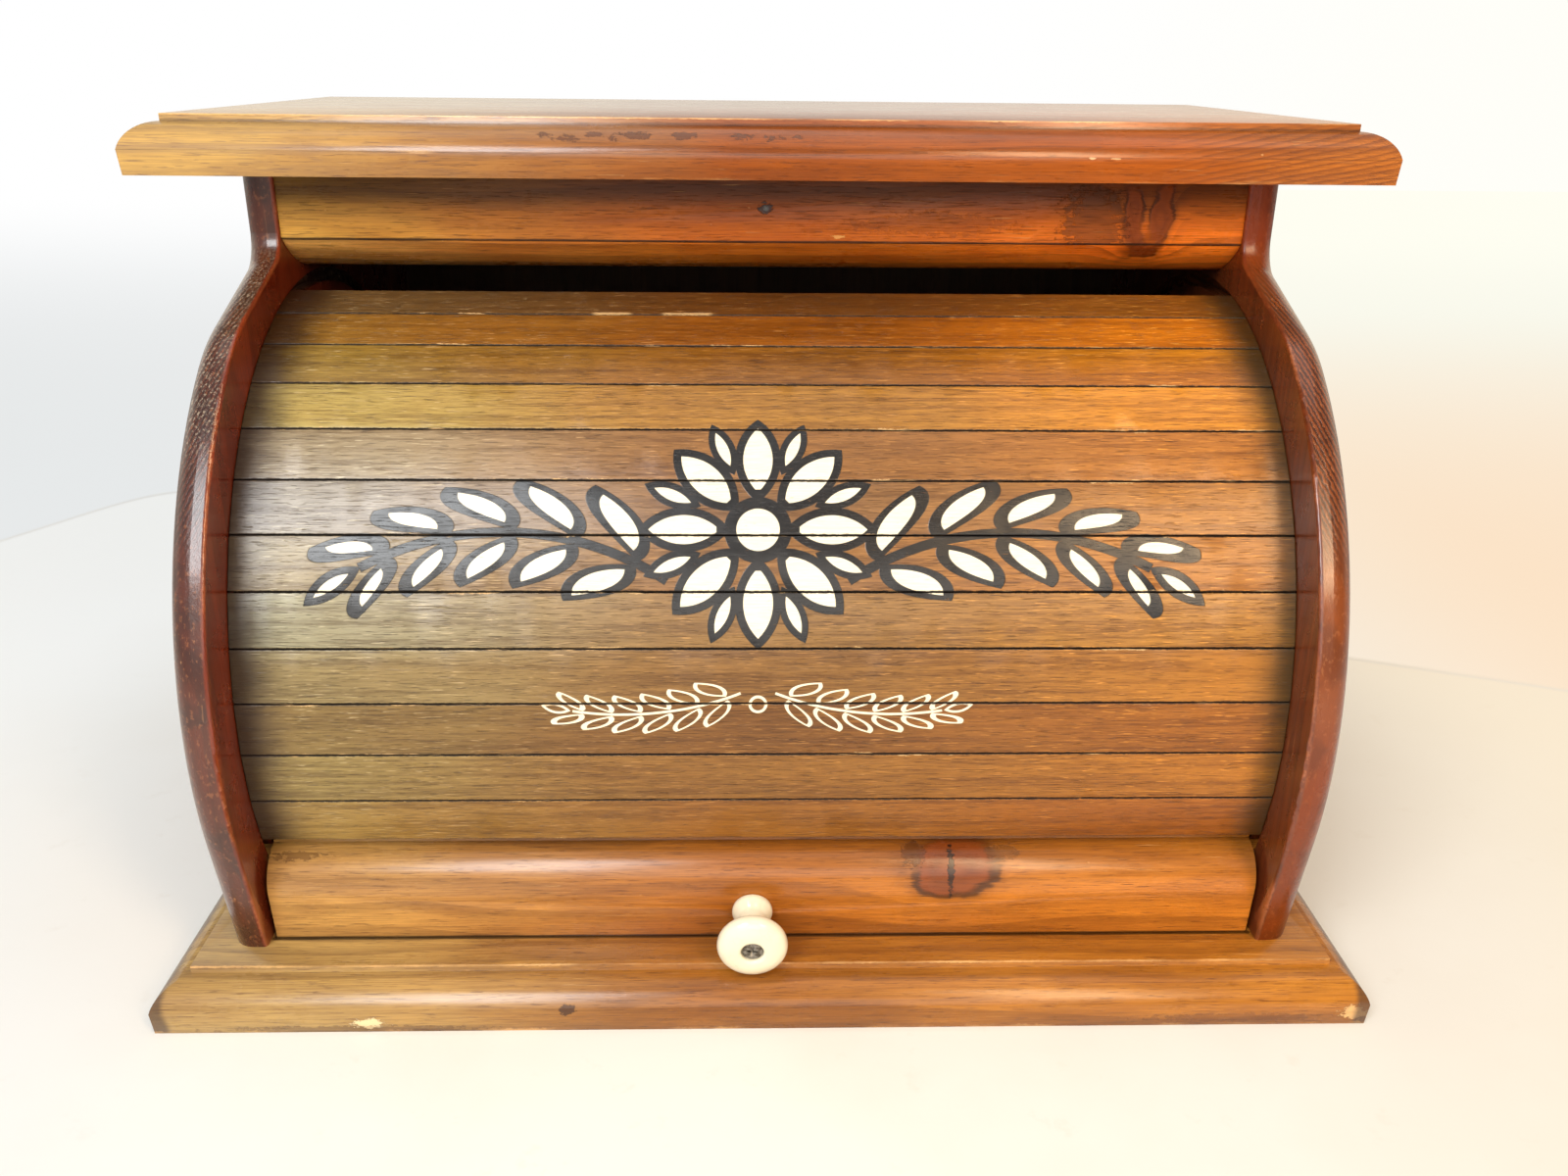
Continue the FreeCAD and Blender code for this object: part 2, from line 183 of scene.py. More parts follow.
def noise(place, scale, detail=2.0, roughness=0.5, offset=(0, 0, 0)):
    """Noise from 0 to 1 at a place stretched by a scale on each axis."""
    return through("ShaderNodeTexNoise",
                   {"Vector": stretched(place, scale, offset), "Scale": 1.0, "Detail": detail,
                    "Roughness": roughness}, "Fac")


def cells(place, scale, feature="F1"):
    """Distance to the nearest of scattered points, or to the line between two of them."""
    return through("ShaderNodeTexVoronoi", {"Vector": stretched(place, scale), "Scale": 1.0},
                   "Distance", feature=feature)


def blend(amount, first, second, kind="MIX"):
    return through("ShaderNodeMix", {0: amount, 6: first, 7: second}, 2, data_type="RGBA",
                   blend_type=kind, clamp_factor=True)


def over(base, *coats):
    """A colour under coats, each a mask and its own colour, laid one after another."""
    for mask, tone in coats:
        base = blend(mask, base, tone)
    return base


def tinted(base, mask, *tint):
    """A colour multiplied by a linear tint where the mask is."""
    return blend(mask, base, blend(1.0, base, (*tint, 1), "MULTIPLY"))


def named_flows(node):
    return {out.name: Flow(out) for out in node.outputs if out.name}


def shader_group(name, **starts):
    """Makes the function below it a node group with named inputs, which start at these
    values: one number, three for a place or four for a colour. What it returns is put out by
    name, and calling it with its inputs, in order or by name, places the group."""
    def titled(values):
        return {key.replace("_", " ").title(): value for key, value in values.items()}

    def make(build):
        group = bpy.data.node_groups.new(name, "ShaderNodeTree")
        for title, start in titled(starts).items():
            kind = {3: "Vector", 4: "Color"}[len(start)] if isinstance(start, tuple) else "Float"
            group.interface.new_socket(title, in_out="INPUT",
                                       socket_type="NodeSocket" + kind).default_value = start
        made = build(*named_flows(group.nodes.new("NodeGroupInput")).values())
        for title, value in made.items():
            kind = "Color" if value.socket.type == "RGBA" else "Float"
            group.interface.new_socket(title, in_out="OUTPUT", socket_type="NodeSocket" + kind)
        leave = group.nodes.new("NodeGroupOutput")
        for title, value in made.items():
            join(value, leave.inputs[title])

        def place_group(*values, **named):
            values = dict(zip(starts, values), **named)
            return named_flows(add_node(tree_of(values.values()), "ShaderNodeGroup",
                                        titled(values), node_tree=group))
        return place_group
    return make


def new_material(name):
    """Material with its shader, and Object coordinates in millimetres."""
    material = bpy.data.materials.new(name)
    material.use_nodes = True
    tree = material.node_tree
    place = through("ShaderNodeVectorMath",
                    {0: source(tree, "ShaderNodeTexCoord", "Object"), "Scale": 1 / MM},
                    operation="SCALE")
    return material, tree.nodes["Principled BSDF"], place


def dress(shader, base, roughness, height, relief=0.1, coat=0.0, coat_roughness=0.1, gloss=0.3,
          metal=0.0):
    """Joins colour, roughness and a height, whose relief is in millimetres, to a shader."""
    join(base, shader.inputs["Base Color"])
    join(roughness, shader.inputs["Roughness"])
    join(metal, shader.inputs["Metallic"])
    join(coat, shader.inputs["Coat Weight"])
    shader.inputs["Coat Roughness"].default_value = coat_roughness
    shader.inputs["Specular IOR Level"].default_value = gloss
    join(through("ShaderNodeBump", {"Height": height, "Strength": 1.0, "Distance": relief * MM}),
         shader.inputs["Normal"])


def surface(name):
    """Makes the function below it a material. It takes the place on the object, in
    millimetres, and returns what the shader is dressed in."""
    def make(build):
        material, shader, place = new_material(name)
        dress(shader, **build(place))
        return material
    return make


# ---- shared wood and wear ----
@shader_group("board grain", position=(0, 0, 0), ring_width=5.0, heart_y=0.0, heart_z=-60.0,
              wander=9.0, swell=0.0)
def board_grain(place, ring_width, heart_y, heart_z, wander, swell):
    """Flat-sawn softwood with its grain along X: late wood lines, fibres and blotches."""
    _, y, z = split(place)
    slow = noise(place, (0.0045, 0.016, 0.016))
    quick = noise(place, (0.02, 0.12, 0.12), 2.0, 0.6, (31, 7, 3))
    radius = length_of(y - heart_y, z - heart_z)
    turn = (radius + (slow - 0.5) * wander * 2.0 + (quick - 0.5) * 2.2 + swell) / ring_width
    whole = calculate("FLOOR", turn)
    part = turn - whole
    weight = through("ShaderNodeTexWhiteNoise", {"W": whole}, "Value", noise_dimensions="1D")
    late = between(part, 0.25, 0.9) * between(part, 1.0, 0.93)
    pores = noise(place, (0.11, 2.4, 2.4), 2.0, 0.6, (3, 19, 8))
    flecks = noise(place, (0.16, 1.7, 1.7), 2.0, 0.6, (13, 9, 28))
    return {"Late Wood": late * (0.3 + weight * 0.7),
            "Fibre": noise(place, (0.045, 1.9, 1.9), 4.0, 0.68, (5, 2, 9)),
            "Blotch": noise(place, (0.014, 0.05, 0.05), 4.0, 0.6, (17, 23, 41)),
            "Pores": between(pores, 0.6, 0.68),
            "Flecks": between(flecks, 0.63, 0.72)}


@shader_group("stain drift", colour=(1, 1, 1, 1), position=(0, 0, 0), left_tint=(1, 1, 1, 1),
              right_tint=(1, 1, 1, 1))
def stain_and_light_drift(base, place, left_tint, right_tint):
    """Tone that runs from yellow at one end of the box to orange at the other: partly stain, and partly
    painted light, cool and pale from the window on the left and warm from the lamp on the right.
    """
    x, _, _ = split(place)
    along = x + (noise(place, (0.011, 0.02, 0.02), 2.0, 0.5, (2, 44, 6)) - 0.5) * 120.0
    return {"Colour": over(base,
                           (between(along, 0, -180), blend(1.0, base, left_tint, "MULTIPLY")),
                           (between(along, 0, 180), blend(1.0, base, right_tint, "MULTIPLY")))}


@shader_group("edge wear", position=(0, 0, 0), distance=10.0, width=0.5, amount=0.5)
def edge_wear(place, distance, width, amount):
    """Broken light line along an arris, from the distance to it in millimetres."""
    ragged = noise(place, (0.55, 0.8, 0.8), 3.0, 0.6, (2, 5, 1))
    patchy = noise(place, (0.03, 0.04, 0.04), 2.0, 0.5, (9, 4, 7))
    line = between(distance / width - (ragged - 0.5) * 1.6, 1.0, 0.35)
    return {"Wear": line * between(patchy + amount - 1.0, -0.12, 0.12)}


@shader_group("scuffs", position=(0, 0, 0), amount=0.5)
def scuffs_on(place, amount):
    """Fine scratches, pinholes and worn spots in a lacquered surface."""
    marks = noise(place, (0.05, 1.1, 1.1), 2.0, 0.5, (11, 3, 2))
    gate = noise(place, (0.02, 0.05, 0.05), 2.0, 0.5, (4, 8, 6))
    spots = between(cells(place, (0.11, 0.16, 0.16)), 0.075, 0.04) * between(gate, 0.56, 0.7)
    return {"Scratches": between(marks, 0.66, 0.7) * between(gate, 0.5, 0.62) * amount,
            "Spots": spots * amount,
            "Haze": noise(place, (0.05, 0.07, 0.07), 4.0, 0.6, (1, 2, 3))}


def knot(place, centre, half_length, half_height):
    """Distance from a knot's middle: 1 at its rim."""
    x, y, z = split(place)
    across = length_of(y - centre[1], z - centre[2]) / half_height
    return length_of((x - centre[0]) / half_length, across)


def wood_colour(grain, light, mid, dark):
    """Stained board colour from its grain."""
    return over(blend(between(grain["Blotch"], 0.35, 0.65), mid, light),
                (grain["Late Wood"] * 0.46, dark),
                (between(grain["Fibre"], 0.6, 0.36) * 0.34, dark),
                (grain["Flecks"] * 0.35, light), (grain["Pores"] * 0.55, dark))


def drifted(base, place, left_tint, right_tint):
    return stain_and_light_drift(base, place, (*left_tint, 1.0), (*right_tint, 1.0))["Colour"]


# ---- boards ----
TOAST = (78, 36, 11)
BARE_WOOD = (226, 176, 112)


def case_pine(name, light, mid, heart, ring_width, left_tint=(1.3, 2.3, 5.5),
              right_tint=(1.75, 1.5, 1.25), knots=(), round_knots=True, marks=(), wear_lines=(),
              seams=(), end_rings=None, shade=None, dark_ends=None, coat=0.0, coat_above=-10.0,
              coat_roughness=0.24):
    """Honey-orange lacquered pine for one board, its grain along X.

    knots are (centre, half length, half height); marks are (centre, half sizes, colour,
    amount); wear_lines are (y, z, width, amount) of arrises along X, and seams, dark lines
    along joints and creases that are partly dirt and partly painted shade, have the reach along
    X after that. shade is (z where it starts, z where it is full, depth) of a darkening towards
    one height, which is painted shade on the valance and the rail. end_rings are the two x
    between which lines of end grain fade in.
    """
    @surface(name)
    def board(place):
        x, y, z = split(place)
        rims = [knot(place, *each) for each in knots]
        pushes = [calculate("EXPONENT", -(rim * rim * 0.3)) * 8.0 for rim in rims]
        grain = board_grain(place, ring_width=ring_width, heart_y=heart[0], heart_z=heart[1],
                            wander=11.0, swell=sum(pushes[1:], pushes[0]) if pushes else 0.0)
        fibre, blotch = grain["Fibre"], grain["Blotch"]
        base = wood_colour(grain, light, mid, TOAST)
        height = grain["Late Wood"] * 0.3 + fibre * 0.35 - grain["Pores"] * 0.5
        if end_rings:
            start, stop = end_rings
            turn = (z - x * 0.19 + (blotch - 0.5) * 3.0) / 1.9
            lines = between(fraction(turn), 0.3, 0.95)
            under_top = between(z, TOP_FACE - 0.5, TOP_FACE - 1.5)
            base = over(base, (lines * between(x, start, stop) * under_top * 0.6, TOAST))
            base = tinted(base, between(x, start, stop + 30.0), 0.95, 1.25, 3.4)
        base = drifted(base, place, left_tint, right_tint)
        # darkening towards one height: painted shade on the valance and the rail
        if shade:
            low, high, depth = shade
            base = over(base, (between(z + blotch * 6.0, low, high) * depth, (52, 30, 18)))
        wobble = noise(place, (0.09, 0.07, 0.07), 2.0, 0.5, (7, 3, 5)) - 0.5
        for rim in rims:
            ragged = rim + (fibre - 0.5) * 0.5 + wobble * (1.0 if round_knots else 2.2)
            heart_wood = blend(calculate("PINGPONG", ragged * 2.6, 1.0) * 0.5, (126, 58, 22),
                               (88, 38, 15))
            bark = band(ragged, 1.0, 0.03, 0.16) * between(blotch, 0.36, 0.6)
            base = over(base, (between(ragged, 1.6, 0.9) * 0.45, TOAST),
                        (between(ragged, 1.08, 0.8) * 0.8, heart_wood), (bark * 0.75, (50, 26, 14)))
            height = height - bark * 1.2
        torn = noise(place, (0.5, 0.7, 0.7), 3.0, 0.65, (6, 2, 1))
        for centre, size, tone, amount in marks:
            ragged = knot(place, centre, *size) + (torn - 0.5) * 2.4 + (fibre - 0.5) * 0.8
            spot = between(ragged, 1.0, 0.8) * amount
            base = over(base, (spot, tone))
            height = height - spot * 2.0
        # the board is darker over its last few millimetres at each end
        if dark_ends:
            end_darkening = between(abs(x) + wobble * 4.0, dark_ends, dark_ends + 3.0)
            base = over(base, (end_darkening * 0.8, (74, 52, 38)))
        scuffs = scuffs_on(place, 0.8)
        base = over(base, (scuffs["Scratches"] * 0.3 + scuffs["Spots"] * 0.45, BARE_WOOD))
        height = height - scuffs["Spots"] * 2.0 - scuffs["Scratches"] * 0.5
        for line_y, line_z, width, amount in wear_lines:
            near = length_of(y - line_y, z - line_z)
            wear = edge_wear(place, near, width, amount)["Wear"]
            base = over(base, (wear * 0.75, BARE_WOOD))
            height = height - wear * 0.6
        # seams: dark lines along joints and creases, partly dirt and partly painted shade
        for line_y, line_z, width, amount, reach in seams:
            near = length_of(y - line_y, z - line_z) + (fibre - 0.5) * 0.7
            near = near + most(abs(x) - reach, 0.0)
            base = over(base, (between(near, width, width * 0.4) * amount, (34, 18, 9)))
        edge_coat = between(z, coat_above, coat_above + 1.0) * coat
        polished = between(z, TOP_FACE - 0.5, TOP_FACE - 0.2)
        return dict(base=base, roughness=0.26 + (scuffs["Haze"] - 0.5) * 0.2 + fibre * 0.06,
                    height=height, relief=0.12, coat=edge_coat + polished * (0.9 - edge_coat),
                    coat_roughness=coat_roughness, gloss=0.2)
    return board


# x, z, half length and half height of the dark dents along the top board's front
TOP_DENTS = [(-73.0, 281.2, 2.6, 0.9), (-66.0, 280.0, 4.2, 1.5), (-57.0, 281.6, 3.0, 1.0),
             (-50.0, 279.6, 2.0, 1.6), (-43.0, 281.0, 4.6, 1.4), (-35.0, 280.2, 2.2, 0.9),
             (-27.0, 281.4, 3.6, 1.3), (-19.0, 279.8, 2.0, 0.9), (-8.0, 281.0, 3.2, 1.2),
             (2.0, 280.2, 4.4, 1.3), (10.0, 281.2, 2.0, 0.8)]
WHOLE_LENGTH = 300.0
# the top board's strong left tint also paints the pale sheen of the window light on its left end
top_pine = case_pine(
    "top board pine", (140, 70, 14), (124, 59, 11), (-120.0, 180.0), 6.0, (2.0, 5.2, 22.0),
    (1.9, 1.95, 1.6), coat=0.65, coat_above=TOP_UNDERSIDE + MOULDING_BAND - 1.5,
    coat_roughness=0.2, end_rings=(120, 160),
    wear_lines=[(TOP_FRONT_Y, TOP_UNDERSIDE + MOULDING_BAND, 0.6, 0.3),
                (TOP_FRONT_Y + MOULDING_REACH, TOP_FACE, 0.5, 0.5),
                (TOP_FRONT_Y + 0.6, TOP_UNDERSIDE, 0.9, 0.36)],
    seams=[(TOP_FRONT_Y + MOULDING_REACH, TOP_FACE - MOULDING_STEP, 1.0, 0.5, WHOLE_LENGTH),
           (TOP_FRONT_Y - 0.3, TOP_UNDERSIDE + MOULDING_BAND, 0.5, 0.35, WHOLE_LENGTH)],
    marks=[((x, -48.6, z), (half_length * 1.25, half_height * 1.35), (84, 44, 20), 0.8)
           for x, z, half_length, half_height in TOP_DENTS]
    + [((-124.0, -53.0, 269.3), (5.0, 0.6), (226, 176, 124), 0.5),
       ((-107.0, -53.0, 269.0), (3.0, 0.5), (226, 176, 124), 0.5),
       ((108.0, -52.6, 276.0), (1.4, 0.5), (244, 200, 150), 0.7),
       ((116.0, -52.6, 275.8), (1.6, 0.4), (236, 186, 130), 0.6)])
# the base board darkens towards its foot
base_pine = case_pine(
    "base board pine", (170, 108, 34), (148, 90, 27), (40.0, -90.0), 6.5, (1.25, 2.15, 6.4),
    (1.35, 1.4, 1.5), coat=0.7, shade=(10.0, 0.0, 0.42), dark_ends=199.5,
    wear_lines=[(FRONT_Y + MOULDING_REACH, BASE_TOP, 0.7, 0.52),
                (FRONT_Y + 0.6, 0.0, 1.3, 0.42)],
    seams=[(-124.4, BASE_TOP, 1.5, 0.8, INNER_X - 1.0)],
    marks=[((-133.0, -150.0, 3.6), (6.0, 2.4), (240, 214, 164), 0.95),
           ((-67.0, -150.0, 8.6), (3.0, 2.2), (60, 32, 16), 0.85),
           ((-140.0, -150.0, 1.2), (45.0, 1.6), (74, 38, 20), 0.4),
           ((160.0, -150.0, 3.4), (32.0, 1.8), (84, 42, 20), 0.35),
           ((201.0, -150.0, 5.0), (5.0, 3.0), (232, 184, 120), 0.85)])
VALANCE_KNOTS = [((132.5, VALANCE_Y, 255.0), 4.6, 12.0), ((141.5, VALANCE_Y, 253.5), 4.4, 11.0),
                 ((138.0, -22.5, 240.0), 5.6, 5.0)]
# the valance's upper part is darkened as painted shadow of the top board that overhangs it
valance_pine = case_pine(
    "valance pine", (192, 100, 24), (166, 80, 16), (60.0, 150.0), 7.0, (1.3, 2.9, 7.2),
    (1.7, 1.7, 1.45), VALANCE_KNOTS, round_knots=False, shade=(251.0, 266.0, 0.8),
    seams=[(VALANCE_Y, VALANCE_FOOT, 0.85, 0.9, INNER_X)],
    marks=[((118.0, VALANCE_Y, 252.0), (12.0, 13.0), (66, 38, 20), 0.55),
           ((60.0, VALANCE_Y, 251.0), (30.0, 4.0), (96, 48, 20), 0.3),
           ((26.0, VALANCE_Y, 246.4), (3.0, 0.7), (224, 170, 96), 0.6),
           ((0.0, VALANCE_Y, 256.1), (2.3, 2.3), (58, 52, 54), 0.9)])
strip_pine = case_pine(
    "valance strip pine", (220, 126, 40), (194, 100, 28), (60.0, 150.0), 7.0,
    knots=VALANCE_KNOTS, round_knots=False, seams=[(VALANCE_Y, VALANCE_FOOT, 0.6, 0.9, INNER_X)])
# the rail's rounded top is darkened as painted shade
rail_pine = case_pine(
    "lift rail pine", (190, 114, 37), (168, 97, 31), (-60.0, -20.0), 7.5, (1.3, 2.2, 5.5),
    (1.5, 1.6, 1.55), [((64.0, -124.0, 46.0), 14.0, 10.5)], coat=0.7, shade=(36.0, 58.0, 0.45),
    wear_lines=[(RAIL_FACE_Y, RAIL_FOOT, 0.8, 0.35)],
    seams=[(RAIL_FACE_Y, RAIL_FOOT, 0.9, 0.85, INNER_X)],
    marks=[((-162.0, -121.0, 51.0), (11.0, 2.0), (60, 30, 14), 0.5),
           ((64.0, -124.0, 46.0), (1.3, 9.0), (38, 24, 16), 0.9),
           ((51.0, -120.0, 50.0), (4.0, 5.0), (70, 40, 22), 0.55),
           ((82.0, -120.0, 50.0), (6.0, 3.0), (84, 54, 32), 0.45)])


# ---- stained sides ----
@surface("stained side pine")
def side_wood(place):
    """Dark red-brown stain with its grain upright, worn and mottled on the rounded front."""
    x, y, z = split(place)
    upright = vector(z, x, y)
    grain = board_grain(upright, ring_width=4.2, heart_y=250.0, heart_z=30.0, wander=10.0)
    scuffs = scuffs_on(upright, 0.8)
    flat_face = between(least(abs(abs(x) - INNER_X), abs(abs(x) - OUTER_X)), 1.6, 0.7)
    rounded = 1.0 - flat_face
    right_hand = between(x, -40, 120)
    mottle = noise(place, (0.07, 0.06, 0.06), 3.0, 0.6)
    flecks = noise(place, (0.7, 0.45, 0.45), 3.0, 0.6, (6, 1, 4))
    specks = noise(place, (1.3, 0.9, 0.9), 3.0, 0.7, (2, 2, 9))
    crazed = band(z, 214.0, 16.0, 16.0) * between(x, 60, -60) * rounded
    turn = (z * 0.8 + (abs(x) - OUTER_X) * 1.6 + (flecks - 0.5) * 2.4) / 2.6
    hatch = between(calculate("PINGPONG", turn, 0.5), 0.14, 0.36) * band(z, 200.0, 24.0, 22.0)
    radius = length_of(y - AXIS_Y, z - AXIS_Z)
    distance = length_of(abs(abs(x) - INNER_X), most(SIDE_EDGE_RADIUS - radius, 0.0))
    wear = edge_wear(place, distance, 1.1, 0.45)["Wear"]
    base = wood_colour(grain, (134, 52, 24), (110, 40, 20), (64, 24, 14))
    # the right side's lighter and warmer tones, here and at its foot and neck below, are partly painted
    # warm light falling on that side
    base = tinted(base, between(x, -20, 60) * 0.6, 0.8, 1.5, 1.2)
    base = over(base,
                (rounded * 0.75, blend(right_hand, (68, 38, 27), (130, 66, 27))),
                (between(mottle, 0.46, 0.64) * rounded * 0.6,
                 blend(right_hand, (46, 26, 20), (92, 44, 20))),
                (between(flecks, 0.56, 0.68) * rounded * 0.35, (160, 100, 62)),
                (between(specks, 0.5, 0.62) * crazed * 0.6, (176, 162, 142)),
                (hatch * rounded * 0.8, (42, 22, 17)),
                (scuffs["Spots"] * 0.5 + scuffs["Scratches"] * 0.2, (206, 150, 100)),
                (wear * 0.6, (176, 104, 62)))
    warm_foot = between(z, 130.0, 80.0) * rounded * right_hand
    neck = between(z, 232.0, 248.0) * right_hand
    base = tinted(base, warm_foot, 0.9, 0.68, 0.45)
    base = tinted(base, neck, 0.95, 0.6, 0.45)
    height = grain["Late Wood"] * 0.3 + grain["Fibre"] * 0.3 + flecks * rounded * 1.6
    return dict(base=base, roughness=0.24 + (scuffs["Haze"] - 0.5) * 0.24 + mottle * 0.1,
                height=height - hatch * rounded * 0.8,
                coat=0.7 - most(neck * 0.6, warm_foot * 0.4), coat_roughness=0.18)


# ---- curtain: stained slats with a painted garland ----
def leaf(along, across, length, width):
    """Distance to the outline of a pointed leaf that starts at 0: negative inside."""
    half_length, half_width = length / 2, width / 2
    radius = (half_length ** 2 + half_width ** 2) / (2 * half_width)
    return length_of(abs(across) + (radius - half_width), along - half_length) - radius


def bent_stem(side, rise, bend, start, pitch, count, lean, leaf_length, leaf_width, taper):
    """Distances to the leaves and to the stem of a sprig bent round a middle. It starts at an
    angle, its leaves lean at another, both in degrees, and they get smaller to the tip."""
    along = (radians(start) - calculate("ARCTAN2", rise, side)) * bend
    across = length_of(side, rise) - bend
    size = 1.0 - along * (taper / (pitch * count))
    off = abs(across) / size
    sine, cotangent = sin(radians(lean)), 1 / tan(radians(lean))
    shifted = (along - off * cotangent) / pitch
    leaves = leaf(off / sine - 1.0, (fraction(shifted) - 0.5) * pitch * sine, leaf_length,
                  leaf_width) * size
    leaves = leaves + (1.0 - band(shifted, count / 2, count / 2, 0.001)) * 50.0
    tip = leaf(along - pitch * count, across, leaf_length * (1 - taper) * 1.15,
               leaf_width * (1 - taper))
    stem = most(abs(across) - 1.1, -along, along - pitch * count)
    return least(leaves, tip), stem


def rosette(across, up, petals, inner, petal_length, petal_width, turn=0.0):
    """Distance to petals set round a middle."""
    radius = length_of(across, up)
    angle = calculate("PINGPONG", calculate("ARCTAN2", up, across) + turn, pi / petals)
    return leaf(radius * calculate("COSINE", angle) - inner, radius * calculate("SINE", angle),
                petal_length, petal_width)


def painted_garland(across, up):
    """Masks of the black and the cream paint of a flower between two leafy sprays."""
    side = abs(across)
    flower_up = up - 9.0
    petals = rosette(across, flower_up, 8, 9.0, 30.0, 15.0)
    sepals = rosette(across, flower_up, 8, 20.0, 20.0, 8.0, pi / 8)
    middle = length_of(across, flower_up)
    leaves, stem = bent_stem(side - 82.0, up + 88.0, 96.0, 123.0, 20.5, 5, 47, 29.0, 12.5, 0.34)
    outline = least(petals, sepals, middle - 11.0, leaves, stem - 0.5)
    outline = most(outline, abs(up) - 70.0)
    inlay = least(petals + 2.7, sepals + 2.2, leaves + 2.5)
    inlay = most(inlay, 13.5 - middle)
    inlay = most(least(inlay, middle - 7.0), abs(up) - 70.0)
    # thin cream sprigs below, one to each side of a small ring
    leaves, stem = bent_stem(side - 44.0, 52.0 - up, 104.0, 112.0, 9.5, 6, 42, 12.0, 5.0, 0.3)
    lines = least(abs(leaves + 0.4) - 0.42, stem + 0.65)
    lines = least(lines, abs(length_of(side, up + 48.5) - 2.6) - 0.5)
    lines = most(lines, abs(up + 48.0) - 16.0, side - 72.0)
    return between(outline, 0.12, -0.12), most(between(inlay, 0.12, -0.12), between(lines, 0.1, -0.1))


# the slats' tones, from the lift rail up, each slat's own; the top one is also darkened as painted
# shade under the top board
SLAT_TONES = [(137, 88, 30), (130, 88, 34), (114, 73, 26), (126, 88, 40), (128, 94, 48), (128, 88, 43),
              (123, 87, 50), (128, 86, 42), (152, 106, 39), (127, 80, 21), (131, 74, 17), (94, 56, 20)]


def slat_tone(count):
    """Colour of the slat that a count of slats up the curtain falls on."""
    ramp = add_node(tree_of([count]), "ShaderNodeValToRGB", {"Fac": count / SLAT_COUNT})
    ramp.color_ramp.interpolation = "CONSTANT"
    stops = ramp.color_ramp.elements
    while len(stops) < SLAT_COUNT:
        stops.new(0.5)
    for i, stop in enumerate(stops):
        stop.position = i / SLAT_COUNT
    for stop, tone in zip(stops, SLAT_TONES):
        stop.color = colour(*tone)
    return Flow(ramp.outputs["Color"])


